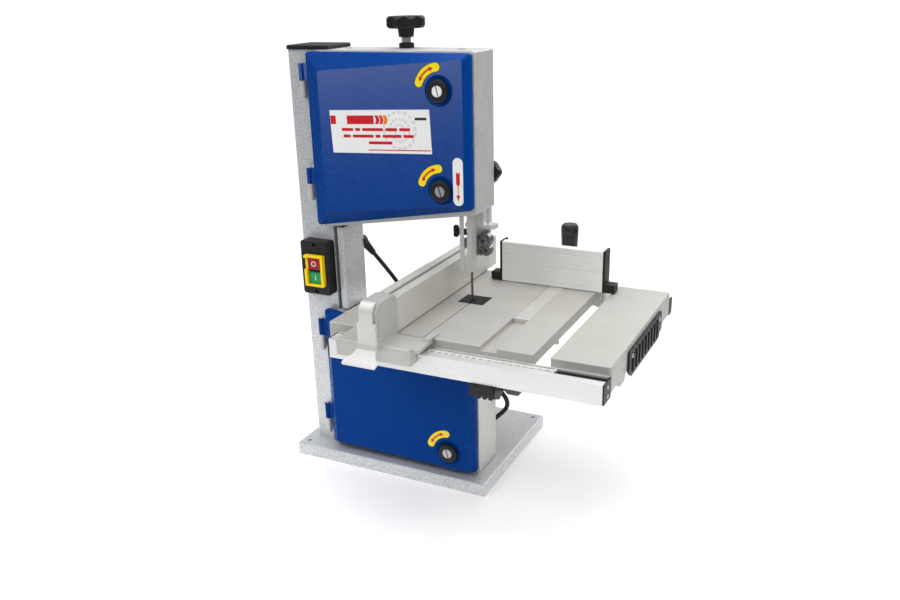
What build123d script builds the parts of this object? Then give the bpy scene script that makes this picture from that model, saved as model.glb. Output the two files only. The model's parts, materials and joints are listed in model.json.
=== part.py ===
from build123d import *
import os
from math import cos, pi, radians, sin, sqrt

# Bench band saw with two 200 mm class wheels.  Millimetres, +Z up, +X towards the
# extension table, -Y towards the operator.  The origin is the middle of the base's underside.

# ---------------------------------------------------------------- driving dimensions
BASE_WIDTH, BASE_DEPTH, BASE_HEIGHT = 340, 253, 20
BOLT_X, BOLT_Y, BOLT_R = 155.5, 112.5, 3.25
SHEET = 1.5                                # folded sheet steel
LIP = 8                                    # folded edge round a housing's open front
GAP = 0.3                                  # parts that pass close to each other
RUN = 0.05                                 # radial running clearance of a shaft

COLUMN_LEFT, COLUMN_RIGHT = -151, -93      # main tube
COVER_RIGHT = -76                          # blade return cover beside the tube
COLUMN_FRONT, COLUMN_BACK = -92, -35
COLUMN_TOP = 649

HOUSE_LEFT, HOUSE_RIGHT = -92.5, 149
HOUSE_FRONT, HOUSE_BACK = -97, -33.5
UPPER_TOP, UPPER_LOW_LEFT, UPPER_LOW_RIGHT = 649, 391, 429
LOWER_TOP_LEFT, LOWER_TOP_RIGHT = 257, 213

DOOR_LEFT, DOOR_RIGHT = -112, 147
DOOR_FRONT, DOOR_RIM, DOOR_BACK = -117.8, -103.8, -97.4
DOOR_WALL = 2.2
HINGE_X, HINGE_Y, HINGE_R, PIN_R = -123, -100, 4.5, 2.2
UPPER_KNUCKLES = ((606.3, 630.5), (455.3, 479))
LOWER_KNUCKLES = ((211.3, 238), (63.3, 90))
FIXED_LENGTH = 25                          # of the knuckle welded to the column, under each of those
LOCK_X, LOCKS_UPPER, LOCK_LOWER = 106.5, (599.5, 464.6), 57.5
CATCH_BACK = HOUSE_FRONT + 8

BLADE_X, BLADE_FRONT, BLADE_BACK = 125, -66, -58
BLADE_THICK, TOOTH_PITCH, TOOTH_DEPTH = 0.5, 4.2, 1.6
TYRE_R = 103                               # outside of the tyre
BLADE_R = TYRE_R + BLADE_THICK / 2 + 0.2
WHEEL_X = BLADE_X - BLADE_R
UPPER_Z, LOWER_Z = 528, 127.5
WHEEL_Y, WHEEL_WIDTH = -62.5, 16
AXLE_R = 6
RETURN_WELL = (-91, -77.5, -90, -38)       # opening in both housings for the blade's way back up

RAIL_X = (WHEEL_X - 24, WHEEL_X + 24)      # tracks of the tension carriage
CARRIAGE_BACK = HOUSE_BACK - SHEET - 3.2
CARRIAGE_FRONT = CARRIAGE_BACK - 3.6
CARRIAGE_TRAVEL = 8
PIVOT_Y = CARRIAGE_FRONT - 5
TRACK_ARM = 26                             # tracking screw below the upper axle
KNOB_Y = -46                               # tension screw, behind the upper wheel
KNOB_R, KNOB_LOW, KNOB_HEIGHT = 28, 676, 16
SPRING_LOW, SPRING_HIGH = UPPER_Z + 46.2, 644

MOTOR_X, MOTOR_Z, MOTOR_R = -58, 112, 50
BELT_BACK, BELT_FRONT = -38, -50
DRIVEN_R, DRIVER_R = 36, 12                # pulleys
DUST_X, DUST_Z, DUST_R = 96, 66, 26

POST = (133, 147, -66, -38)                # left, right, front, back
POST_MIDDLE = (POST[0] + POST[1]) / 2
GUIDE_WELL = (107, 147.4, -84, -37)        # opening that the upper guide rises through
GUIDE_LOW = 347                            # height that the guide's pieces are placed from
GUARD_FRONT, GUARD_LOW, GUARD_TOP = -82, 340, 480
GUIDE_LOCK_Z = 476

TABLE_LEFT, TABLE_RIGHT = -27, 281.6
TABLE_FRONT, TABLE_REAR = -217.5, 86.5
TABLE_TOP, TABLE_UNDER = 288, 253.5
TABLE_SKIN, TABLE_EDGE = 9, 16             # thickness of the top, and depth of its right edge
SLOT_LEFT, SLOT_RIGHT, SLOT_DEPTH = 207.5, 231.7, 6.5
INSERT = (105.5, 147, -73.5, -36.5)        # left, right, front, back
TILT_SLOT_R = 76

EXT_LEFT, EXT_RIGHT = 304.6, 384.3
RAIL_LEFT, RAIL_RIGHT = -8.5, 382.5
RAIL_FRONT, RAIL_UNDER, RAIL_TOP = -247.5, 248.5, 276
LEVER_Y, LEVER_Z = -222, 240               # pin of the extension's locking lever

FENCE_LEFT, FENCE_RIGHT = 52, 85.3
FENCE_FRONT, FENCE_REAR, FENCE_TOP = -217, 119.5, 338.7
FENCE_UNDER = TABLE_TOP + 1.2
HEAD_LEFT = 58                             # the head is as wide as the fence, less its left wall
FENCE_CAM_Y, FENCE_CAM_Z, FENCE_CAM_R = -264, 334, 13

MITRE_X, MITRE_Y = (SLOT_LEFT + SLOT_RIGHT) / 2, 100
MITRE_FACE_Y, MITRE_LEFT, MITRE_RIGHT, MITRE_TOP = 43.5, 128.5, 291.5, 352.5

SWITCH_X, SWITCH_Z = -118.6, 325
BUTTON_X, BUTTON_RED, BUTTON_GREEN = -117, 333.5, 310.5
SWITCH_FACE = -111.5


# ---------------------------------------------------------------- helpers
def box(x0, x1, y0, y1, z0, z1):
    """A block between two corners."""
    middle = ((x0 + x1) / 2, (y0 + y1) / 2, (z0 + z1) / 2)
    return Pos(*middle) * Box(x1 - x0, y1 - y0, z1 - z0)


def rod_x(y, z, r, x0, x1):
    """A cylinder along X."""
    return Pos((x0 + x1) / 2, y, z) * Rot(0, 90, 0) * Cylinder(r, x1 - x0)


def rod_y(x, z, r, y0, y1):
    """A cylinder along Y."""
    return Pos(x, (y0 + y1) / 2, z) * Rot(90, 0, 0) * Cylinder(r, y1 - y0)


def rod_z(x, y, r, z0, z1):
    """A cylinder along Z."""
    return Pos(x, y, (z0 + z1) / 2) * Cylinder(r, z1 - z0)


def across_y(points, y0, y1, rounding=0.0):
    """A plate with an (x, z) outline, from y0 back to y1, its corners rounded."""
    face = make_face(Polyline(points, close=True))
    if rounding:
        face = fillet(face.vertices(), rounding)
    return Pos(0, y1, 0) * (Plane.XZ * extrude(face, y1 - y0))


def across_x(points, x0, x1, rounding=0.0):
    """A bar with a (y, z) outline, from x0 to x1, its corners rounded."""
    face = make_face(Polyline(points, close=True))
    if rounding:
        face = fillet(face.vertices(), rounding)
    return Pos(x0, 0, 0) * (Plane.YZ * extrude(face, x1 - x0))


def turned(profile, place):
    """A turned part: an (r, h) outline spun about its own axis, then put in place."""
    face = make_face(Polyline([(r, 0, h) for r, h in profile], close=True))
    return place * revolve(face, Axis.Z)


def lobed_knob(radius, height, lobes, place):
    """A hand knob standing on its own XY plane, its rim a ring of lobes with hollows between."""
    step = pi / lobes

    def at(turn, r):
        return (r * cos(turn), r * sin(turn))

    rim = []
    for index in range(lobes):
        tip = 2 * index * step
        start, end = tip - step / 2, tip + step / 2
        rim.append(ThreePointArc(at(start, radius * 0.94), at(tip, radius), at(end, radius * 0.94)))
        hollow, after = tip + step, tip + 3 * step / 2
        rim.append(ThreePointArc(at(end, radius * 0.94), at(hollow, radius * 0.87), at(after, radius * 0.94)))
    knob = extrude(make_face(rim), height)
    ease = min(height, radius) * 0.22
    round_over = turned([(0, 0), (radius - ease, 0), (radius + 0.1, ease), (radius + 0.1, height - ease),
                         (radius - ease, height), (0, height)], Pos(0, 0, 0))
    return place * (knob & round_over)


def group(*shapes):
    """Separate solids that share one node."""
    solids = []
    for shape in shapes:
        solids += list(shape.solids())
    return Compound(children=solids)


AT_FRONT = Rot(90, 0, 0)                   # turns +Z to face -Y, the operator
AT_BACK = Rot(-90, 0, 0)
AT_RIGHT = Rot(0, 90, 0)


# ---------------------------------------------------------------- base and column
def base_plate():
    """A shallow folded tray, open below, with a bolt hole in each corner."""
    half_x, half_y = BASE_WIDTH / 2, BASE_DEPTH / 2
    tray = box(-half_x, half_x, -half_y, half_y, 0, BASE_HEIGHT)
    tray = fillet(tray.edges().filter_by(Axis.Z) + tray.faces().sort_by(Axis.Z)[-1].edges(), 2.5)
    wall = 2
    tray -= box(-half_x + wall, half_x - wall, -half_y + wall, half_y - wall, -1, BASE_HEIGHT - wall)
    for x in (-BOLT_X, BOLT_X):
        for y in (-BOLT_Y, BOLT_Y):
            tray -= rod_z(x, y, BOLT_R, 0, BASE_HEIGHT + 1)
    return tray


def column():
    """The main square tube, with the channel that covers the blade on its way back up."""
    z0 = BASE_HEIGHT
    tube = box(COLUMN_LEFT, COLUMN_RIGHT, COLUMN_FRONT, COLUMN_BACK, z0, COLUMN_TOP)
    tube = fillet(tube.edges().filter_by(Axis.Z), 2.5)
    tube -= box(COLUMN_LEFT + SHEET, COLUMN_RIGHT - SHEET, COLUMN_FRONT + SHEET,
                COLUMN_BACK - SHEET, z0 - 1, COLUMN_TOP + 1)
    low, high = LOWER_TOP_LEFT + GAP, UPPER_LOW_LEFT - 2.5
    slot = 6.5
    cover = box(COLUMN_RIGHT - SHEET, COVER_RIGHT, COLUMN_FRONT, COLUMN_BACK, low, high)
    cover -= box(COLUMN_RIGHT, COVER_RIGHT - SHEET, COLUMN_FRONT + SHEET,
                 COLUMN_BACK - SHEET, low - 1, high + 1)
    cover -= box(COLUMN_RIGHT, COLUMN_RIGHT + slot, COLUMN_FRONT - 1,
                 COLUMN_FRONT + SHEET + 1, low - 1, high + 1)
    return tube + cover


def column_cap():
    """The plastic lid that closes the column and laps over the upper housing."""
    thick = 6
    lid = box(COLUMN_LEFT - 1.5, -81, COLUMN_FRONT - 2, COLUMN_BACK + 6, COLUMN_TOP, COLUMN_TOP + thick)
    lid = fillet(lid.edges().filter_by(Axis.Z), 3)
    lid = fillet(lid.faces().sort_by(Axis.Z)[-1].edges(), 2)
    inside = SHEET + 0.4
    plug = box(COLUMN_LEFT + inside, COLUMN_RIGHT - inside, COLUMN_FRONT + inside,
               COLUMN_BACK - inside, COLUMN_TOP - 8, COLUMN_TOP)
    return lid + plug


# ---------------------------------------------------------------- wheel housings
def housing(outline):
    """A sheet box, open at the front, with an (x, z) outline."""
    shell = across_y(outline, HOUSE_FRONT, HOUSE_BACK, 2.5)
    inner = offset(make_face(Polyline(outline, close=True)), -SHEET, kind=Kind.INTERSECTION)
    depth = HOUSE_BACK - SHEET - HOUSE_FRONT + 1
    shell -= Pos(0, HOUSE_BACK - SHEET, 0) * (Plane.XZ * extrude(inner, depth))
    opening = offset(inner, -LIP, kind=Kind.INTERSECTION)
    lip = extrude(inner, SHEET) - extrude(opening, SHEET)
    return shell + Pos(0, HOUSE_FRONT + SHEET, 0) * (Plane.XZ * lip)


def lock_catch(z):
    """A tab welded to the right wall, with the slot that a door lock's tongue passes through."""
    tab = box(LOCK_X - 12, HOUSE_RIGHT - 1, CATCH_BACK - SHEET, CATCH_BACK, z - 11, z + 11)
    return tab - box(LOCK_X - 3, LOCK_X + 3, CATCH_BACK - 3, CATCH_BACK + 1, z - 8.5, z + 8.5)


def upper_housing():
    outline = [(HOUSE_LEFT, UPPER_LOW_LEFT), (HOUSE_RIGHT, UPPER_LOW_RIGHT),
               (HOUSE_RIGHT, UPPER_TOP), (HOUSE_LEFT, UPPER_TOP)]
    shell = housing(outline)
    shell -= box(*GUIDE_WELL, 400, 440)
    shell -= box(*RETURN_WELL, 380, 410)
    shell -= rod_z(WHEEL_X, KNOB_Y, 5, UPPER_TOP - 5, UPPER_TOP + 1)
    shell -= rod_y(WHEEL_X, UPPER_Z - TRACK_ARM, 3.2, HOUSE_BACK - 5, HOUSE_BACK + 1)
    shell -= rod_y(POST_MIDDLE, GUIDE_LOCK_Z, 3.2, HOUSE_BACK - 5, HOUSE_BACK + 1)
    inner_back = HOUSE_BACK - SHEET
    for x, lip in zip(RAIL_X, (1, -1)):
        track = box(x - 4, x + 4, inner_back - 11, inner_back + 0.5, UPPER_Z - 50, UPPER_Z + 60)
        groove_x = x + lip * 4
        shell += track - box(groove_x - 3, groove_x + 3, inner_back - 7, inner_back - 3,
                             UPPER_Z - 51, UPPER_Z + 61)
    for z in LOCKS_UPPER:
        shell += lock_catch(z)
    return shell


def lower_top(x):
    """Height of the lower housing's sloping top."""
    slope = (LOWER_TOP_RIGHT - LOWER_TOP_LEFT) / (HOUSE_RIGHT - HOUSE_LEFT)
    return LOWER_TOP_LEFT + slope * (x - HOUSE_LEFT)


def lower_housing():
    outline = [(HOUSE_LEFT, BASE_HEIGHT), (HOUSE_RIGHT, BASE_HEIGHT),
               (HOUSE_RIGHT, LOWER_TOP_RIGHT), (HOUSE_LEFT, LOWER_TOP_LEFT)]
    shell = housing(outline)
    shell -= box(BLADE_X - 8, BLADE_X + 8, -74, -46, 200, 230)
    shell -= box(*RETURN_WELL, 240, 270)
    shell -= rod_y(WHEEL_X, LOWER_Z, 16, HOUSE_BACK - 5, HOUSE_BACK + 1)
    shell -= rod_y(MOTOR_X, MOTOR_Z, 14, HOUSE_BACK - 5, HOUSE_BACK + 1)
    shell -= rod_y(DUST_X, DUST_Z, DUST_R - 3, HOUSE_BACK - 5, HOUSE_BACK + 1)
    return shell + lock_catch(LOCK_LOWER)


# ---------------------------------------------------------------- doors
def door(outer, inner, locks):
    """A pressed cover: a rim that stands back, and a raised panel joined by bevels."""
    def level(points, y, rounding):
        face = fillet(make_face(Polyline(points, close=True)).vertices(), rounding)
        return Pos(0, y, 0) * (Plane.XZ * face)

    def shrunk(points, amount):
        mid_x = sum(x for x, _ in points) / len(points)
        mid_z = sum(z for _, z in points) / len(points)
        return [(x + (amount if x < mid_x else -amount), z + (amount if z < mid_z else -amount))
                for x, z in points]

    rim = level(outer, DOOR_RIM, 5)
    panel = level(inner, DOOR_FRONT, 4)
    body = loft([rim, panel], ruled=True)
    body += extrude(rim, DOOR_BACK - DOOR_RIM, dir=(0, 1, 0))
    hollow_rim = level(shrunk(outer, DOOR_WALL), DOOR_RIM + 0.8, 3.5)
    hollow_panel = level(shrunk(inner, DOOR_WALL * 0.8), DOOR_FRONT + DOOR_WALL, 3)
    body -= loft([hollow_rim, hollow_panel], ruled=True)
    body -= extrude(hollow_rim, DOOR_BACK - DOOR_RIM + 2, dir=(0, 1, 0))
    for z in locks:
        ring = Pos(LOCK_X, DOOR_FRONT, z) * AT_FRONT
        body += ring * Pos(0, 0, -3.1) * Cylinder(23, 4.2)
        body -= ring * Pos(0, 0, -1.5) * Cone(15.5, 21, 3)
        body += ring * Pos(0, 0, -5) * Cylinder(9, 6)
        body -= ring * Cylinder(4.6, 40)
    return body


def knuckles(pairs, clearance):
    """Hinge barrels with their leaves; each pair is (bottom, top)."""
    barrels = []
    for z0, z1 in pairs:
        barrel = rod_z(HINGE_X, HINGE_Y, HINGE_R, z0, z1)
        leaf = box(HINGE_X, DOOR_LEFT + 1, HINGE_Y - 1.2, HINGE_Y + 1.2, z0, z1)
        barrels.append(barrel + leaf - rod_z(HINGE_X, HINGE_Y, PIN_R + clearance, z0 - 1, z1 + 1))
    return barrels


def upper_door():
    outer = [(DOOR_LEFT, 393), (DOOR_RIGHT, 437), (DOOR_RIGHT, 647), (DOOR_LEFT, 647)]
    inner = [(-85, 418), (141, 446), (141, 640), (-85, 622)]
    shell = door(outer, inner, LOCKS_UPPER)
    for barrel in knuckles(UPPER_KNUCKLES, RUN):
        shell += barrel
    return shell


def lower_door():
    outer = [(DOOR_LEFT, 23.6), (DOOR_RIGHT, 23.6), (DOOR_RIGHT, 213.5), (DOOR_LEFT, 258)]
    inner = [(-97, 34), (141, 30), (141, 205), (-97, 238)]
    shell = door(outer, inner, (LOCK_LOWER,))
    for barrel in knuckles(LOWER_KNUCKLES, RUN):
        shell += barrel
    return shell


def hinge_brackets():
    """The fixed knuckles under each door knuckle, welded to the column, with their pins."""
    pieces = []
    for z0, z1 in UPPER_KNUCKLES + LOWER_KNUCKLES:
        low = z0 - FIXED_LENGTH - GAP
        barrel = rod_z(HINGE_X, HINGE_Y, HINGE_R, low, z0 - GAP)
        leaf = box(HINGE_X - 1.2, HINGE_X + 1.2, HINGE_Y, COLUMN_FRONT, low, z0 - GAP)
        pin = rod_z(HINGE_X, HINGE_Y, PIN_R, z0 - GAP, z1 + 1)
        pieces.append(barrel + leaf + pin)
    return group(*pieces)


def door_lock(z):
    """A quarter-turn lock: a knurled ring outside, and a tongue that turns behind the catch."""
    place = Pos(LOCK_X, DOOR_FRONT - 1.2, z) * AT_FRONT
    ring = turned([(0, -0.2), (15, -0.2), (15, 3), (13, 4.6), (8, 4.6), (8, 3.4), (0, 3.4)], place)
    stem = place * Pos(0, 0, -14) * Cylinder(4.5, 28)
    tongue = box(LOCK_X - 2, LOCK_X + 2, CATCH_BACK + 0.4, CATCH_BACK + 3.4, z - 7.5, z + 7.5)
    neck = rod_y(LOCK_X, z, 2, DOOR_FRONT + 10, CATCH_BACK + 2)
    slot = Rot(0, -15, 0) * Box(1.4, 3, 11)
    return ring + stem + neck + tongue - Pos(LOCK_X, DOOR_FRONT - 5, z) * slot


# ---------------------------------------------------------------- switch
def switch_box():
    """The plastic switch housing on the column, with wells for the two push buttons."""
    case = box(SWITCH_X - 25, SWITCH_X + 25, SWITCH_FACE, COLUMN_FRONT, SWITCH_Z - 43, SWITCH_Z + 43)
    case = fillet(case.edges().filter_by(Axis.Y), 5)
    case = fillet(case.faces().sort_by(Axis.Y)[0].edges(), 2.5)
    for z in (SWITCH_Z - 37, SWITCH_Z + 37):
        case -= rod_y(SWITCH_X, z, 3, SWITCH_FACE - 1, SWITCH_FACE + 6)
    for z in (BUTTON_RED, BUTTON_GREEN):
        case -= box(BUTTON_X - 11, BUTTON_X + 11, SWITCH_FACE - 1, SWITCH_FACE + 12, z - 9.5, z + 9.5)
    return case


def switch_surround():
    """The raised frame around the buttons, open on the left beside the stop button."""
    frame = box(BUTTON_X - 17, BUTTON_X + 17, SWITCH_FACE - 7, SWITCH_FACE, 297.5, 347)
    frame = fillet(frame.edges().filter_by(Axis.Y), 1.5)
    frame -= box(BUTTON_X - 12.5, BUTTON_X + 12.5, SWITCH_FACE - 8, SWITCH_FACE + 1, 300.5, 343.5)
    return frame - box(BUTTON_X - 18, BUTTON_X - 12, SWITCH_FACE - 8, SWITCH_FACE - 2.5, 324, 342)


def button(z, proud):
    """A square push button that slides in its well."""
    cap = box(BUTTON_X - 10.5, BUTTON_X + 10.5, SWITCH_FACE - proud, SWITCH_FACE + 5, z - 9, z + 9)
    return fillet(cap.faces().sort_by(Axis.Y)[0].edges(), 1.2)


# ---------------------------------------------------------------- wheels and blade
def wheel(z):
    """A cast wheel with a grooved rim, a thin web with six windows and a hub."""
    place = Pos(WHEEL_X, WHEEL_Y, z) * AT_FRONT
    half = WHEEL_WIDTH / 2
    rim_r, rim_in, hub_r = TYRE_R - 2.5, TYRE_R - 9, 17
    outline = [(AXLE_R + 0.02, -half), (hub_r, -half), (hub_r, -2), (rim_in, -2), (rim_in, -half),
               (rim_r, -half), (rim_r, half), (rim_in, half), (rim_in, 2), (hub_r, 2),
               (hub_r, half), (AXLE_R + 0.02, half)]
    cast = turned(outline, place)
    for index in range(6):
        turn = index * pi / 3
        window = place * Pos(57 * cos(turn), 57 * sin(turn), 0) * Cylinder(21, 10)
        cast -= window
    return cast


def tyre(z):
    place = Pos(WHEEL_X, WHEEL_Y, z) * AT_FRONT
    half = WHEEL_WIDTH / 2
    band = [(TYRE_R - 2.5, -half), (TYRE_R - 0.4, -half), (TYRE_R, -half + 2), (TYRE_R, half - 2),
            (TYRE_R - 0.4, half), (TYRE_R - 2.5, half)]
    return turned(band, place)


def blade():
    """The endless blade: toothed straight runs, and plain bands where it lies on the wheels."""
    length = UPPER_Z - LOWER_Z
    count = int(length / TOOTH_PITCH)
    pitch = length / count

    def run(x, direction):
        points = [(BLADE_BACK, LOWER_Z), (BLADE_FRONT + TOOTH_DEPTH, LOWER_Z)]
        for index in range(count):
            z = LOWER_Z + index * pitch
            tip = z + (0.15 if direction < 0 else 0.85) * pitch
            points += [(BLADE_FRONT, tip)]
            points += [(BLADE_FRONT + TOOTH_DEPTH, z + pitch)]
        points += [(BLADE_BACK, UPPER_Z)]
        return across_x(points, x - BLADE_THICK / 2, x + BLADE_THICK / 2)

    loop = run(BLADE_X, -1) + run(WHEEL_X - BLADE_R, 1)
    for z, side in ((UPPER_Z, 1), (LOWER_Z, -1)):
        y0 = BLADE_FRONT + TOOTH_DEPTH
        band = rod_y(WHEEL_X, z, BLADE_R + BLADE_THICK / 2, y0, BLADE_BACK)
        band -= rod_y(WHEEL_X, z, BLADE_R - BLADE_THICK / 2, y0 - 1, BLADE_BACK + 1)
        low, high = sorted((z, z - side * 200))
        loop += band - box(-200, 200, y0 - 1, BLADE_BACK + 1, low, high)
    return loop


# ---------------------------------------------------------------- blade tension and tracking
def carriage():
    """The sliding plate that carries the upper axle, with a nut for the tension screw."""
    plate = box(RAIL_X[0] + 1.3, RAIL_X[1] - 1.3, CARRIAGE_FRONT, CARRIAGE_BACK,
                UPPER_Z - 40, UPPER_Z + 46)
    nut = box(WHEEL_X - 9, WHEEL_X + 9, CARRIAGE_FRONT - 12, CARRIAGE_FRONT, UPPER_Z + 36, UPPER_Z + 46)
    plate += nut
    plate -= rod_z(WHEEL_X, KNOB_Y, 4 + RUN, UPPER_Z + 30, UPPER_Z + 50)
    plate -= box(WHEEL_X - 6, WHEEL_X + 6, CARRIAGE_FRONT - 1, CARRIAGE_BACK + 1,
                 UPPER_Z - TRACK_ARM - 6, UPPER_Z - TRACK_ARM + CARRIAGE_TRAVEL + 5)
    for side in (-1, 1):
        ear = box(WHEEL_X + side * 17 - 2, WHEEL_X + side * 17 + 2, CARRIAGE_FRONT - 9, CARRIAGE_FRONT,
                  UPPER_Z - 5, UPPER_Z + 5)
        plate += ear - rod_x(PIVOT_Y, UPPER_Z, 2 + RUN, WHEEL_X - 30, WHEEL_X + 30)
    return plate


def axle_block():
    """The tilting block with the fixed upper axle; its arm rests on the tracking screw."""
    block = box(WHEEL_X - 14, WHEEL_X + 14, CARRIAGE_FRONT - 8.6, CARRIAGE_FRONT - 1, UPPER_Z - 9, UPPER_Z + 9)
    arm = box(WHEEL_X - 5, WHEEL_X + 5, CARRIAGE_FRONT - 6, CARRIAGE_FRONT - 1,
              UPPER_Z - TRACK_ARM - 5, UPPER_Z - 5)
    axle = rod_y(WHEEL_X, UPPER_Z, AXLE_R - RUN, WHEEL_Y - 12, CARRIAGE_FRONT - 4)
    pivot = rod_x(PIVOT_Y, UPPER_Z, 2, WHEEL_X - 20, WHEEL_X + 20)
    return block + arm + axle + pivot


def tracking_knob():
    """The knob behind the upper housing; its screw meets the arm of the axle block."""
    place = Pos(WHEEL_X, HOUSE_BACK + 7, UPPER_Z - TRACK_ARM) * AT_BACK
    knob = lobed_knob(17, 14, 6, place)
    knob += rod_y(WHEEL_X, UPPER_Z - TRACK_ARM, 3, CARRIAGE_FRONT + 0.4, HOUSE_BACK + 8)
    return knob


def tension_knob():
    """The lobed knob on top, its hub, and its screw down into the carriage."""
    knob = lobed_knob(KNOB_R, KNOB_HEIGHT, 8, Pos(WHEEL_X, KNOB_Y, KNOB_LOW))
    hub_low = KNOB_LOW - 12
    hub = turned([(0, hub_low), (10.5, hub_low), (12, KNOB_LOW + 1), (0, KNOB_LOW + 1)], Pos(WHEEL_X, KNOB_Y, 0))
    screw = rod_z(WHEEL_X, KNOB_Y, 4, UPPER_Z + 25, hub_low)
    collar = rod_z(WHEEL_X, KNOB_Y, 6.2, UPPER_TOP + 7.3, hub_low)
    return knob + hub + screw + collar


def tension_bush():
    """The flanged bush in the top of the housing."""
    ring = rod_z(WHEEL_X, KNOB_Y, 10.75, UPPER_TOP, UPPER_TOP + 7)
    ring = fillet(ring.faces().sort_by(Axis.Z)[-1].edges(), 1)
    return ring - rod_z(WHEEL_X, KNOB_Y, 4 + RUN, UPPER_TOP - 1, UPPER_TOP + 8)


def tension_spring():
    """The compression spring between the carriage and the top of the housing."""
    wire, coil_r = 0.9, 6.4
    height = SPRING_HIGH - SPRING_LOW - 2 * wire
    path = Helix(pitch=height / 9, height=height, radius=coil_r)
    start = path @ 0
    section = Plane(origin=start, z_dir=path % 0) * Circle(wire)
    coil = sweep(section, path=path, is_frenet=True)
    return Pos(WHEEL_X, KNOB_Y, SPRING_LOW + wire) * coil


# ---------------------------------------------------------------- drive
def lower_spindle():
    """The turning lower shaft, with the driven pulley pressed on behind the wheel."""
    shaft = rod_y(WHEEL_X, LOWER_Z, AXLE_R, WHEEL_Y - 12, HOUSE_BACK + 22)
    pulley = rod_y(WHEEL_X, LOWER_Z, DRIVEN_R, BELT_FRONT - 0.5, BELT_BACK + 0.5)
    pulley -= rod_y(WHEEL_X, LOWER_Z, AXLE_R + 0.02, -60, -20)
    for index in range(5):
        turn = 2 * pi * index / 5
        pulley -= rod_y(WHEEL_X + 22 * cos(turn), LOWER_Z + 22 * sin(turn), 6, -60, -20)
    return group(shaft, pulley)


def lower_bearing():
    """The flanged bearing housing bolted to the back of the lower housing."""
    place = Pos(WHEEL_X, HOUSE_BACK, LOWER_Z) * AT_BACK
    bore = AXLE_R + RUN
    outline = [(bore, 0), (30, 0), (30, 4), (18, 5), (16, 20), (bore, 20)]
    flange = turned(outline, place)
    for index in range(4):
        turn = pi / 4 + index * pi / 2
        flange += place * Pos(24 * cos(turn), 24 * sin(turn), 5.2) * Cylinder(3.6, 3, align=(Align.CENTER,) * 3)
    return flange


def drive_belt():
    """The ribbed belt around both pulleys."""
    dx, dz = MOTOR_X - WHEEL_X, MOTOR_Z - LOWER_Z
    span = sqrt(dx * dx + dz * dz)
    ux, uz = dx / span, dz / span
    lean = (DRIVEN_R - DRIVER_R) / span
    side = sqrt(1 - lean * lean)

    def band(extra):
        big, small = DRIVEN_R + extra, DRIVER_R + extra
        corners = []
        for sign in (1, -1):
            nx, nz = lean * ux - sign * side * uz, lean * uz + sign * side * ux
            corners.append(((WHEEL_X + big * nx, LOWER_Z + big * nz), (MOTOR_X + small * nx, MOTOR_Z + small * nz)))
        (a, b), (d, c) = corners
        slab = across_y([a, b, c, d], BELT_FRONT, BELT_BACK)
        slab += rod_y(WHEEL_X, LOWER_Z, big, BELT_FRONT, BELT_BACK)
        return slab + rod_y(MOTOR_X, MOTOR_Z, small, BELT_FRONT, BELT_BACK)

    return band(2.4) - band(0.15)


def motor():
    """The induction motor behind the lower housing: ribbed body, end bells and flange."""
    y0 = HOUSE_BACK + 0.2
    body = rod_y(MOTOR_X, MOTOR_Z, MOTOR_R, y0 + 8, y0 + 120)
    body += rod_y(MOTOR_X, MOTOR_Z, MOTOR_R - 4, y0 + 119, y0 + 132)
    body = fillet(body.edges().filter_by(GeomType.CIRCLE).sort_by(Axis.Y)[-1], 5)
    for index in range(24):
        turn = 360 * index / 24
        fin = Pos(MOTOR_R + 0.5, 0, 0) * Box(4, 1.8, 80)
        body += Pos(MOTOR_X, y0 + 60, MOTOR_Z) * Rot(90, 0, 0) * Rot(0, 0, turn) * fin
    flange = box(MOTOR_X - 33, MOTOR_X + 33, y0, y0 + 8.5, MOTOR_Z - 46, MOTOR_Z + 46)
    flange = fillet(flange.edges().filter_by(Axis.Y), 6)
    terminal = box(MOTOR_X - 26, MOTOR_X + 26, y0 + 26, y0 + 92, MOTOR_Z + 38, MOTOR_Z + 74)
    terminal = fillet(terminal.edges().filter_by(Axis.Z), 5)
    terminal = fillet(terminal.faces().sort_by(Axis.Z)[-1].edges(), 3)
    body += flange
    body += terminal
    return body - rod_y(MOTOR_X, MOTOR_Z, 9, y0 - 1, y0 + 30)


def motor_pulley():
    """The motor's shaft end and its small pulley."""
    shaft = rod_y(MOTOR_X, MOTOR_Z, 5, BELT_FRONT - 2, HOUSE_BACK + 28)
    return shaft + rod_y(MOTOR_X, MOTOR_Z, DRIVER_R, BELT_FRONT - 0.5, BELT_BACK + 0.5)


def dust_port():
    """The round dust outlet at the back of the lower housing."""
    place = Pos(DUST_X, HOUSE_BACK, DUST_Z) * AT_BACK
    inner = DUST_R - 3
    pipe = turned([(inner, 0), (DUST_R + 8, 0), (DUST_R + 8, 3), (DUST_R, 3), (DUST_R, 40), (inner, 40)], place)
    return pipe


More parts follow.
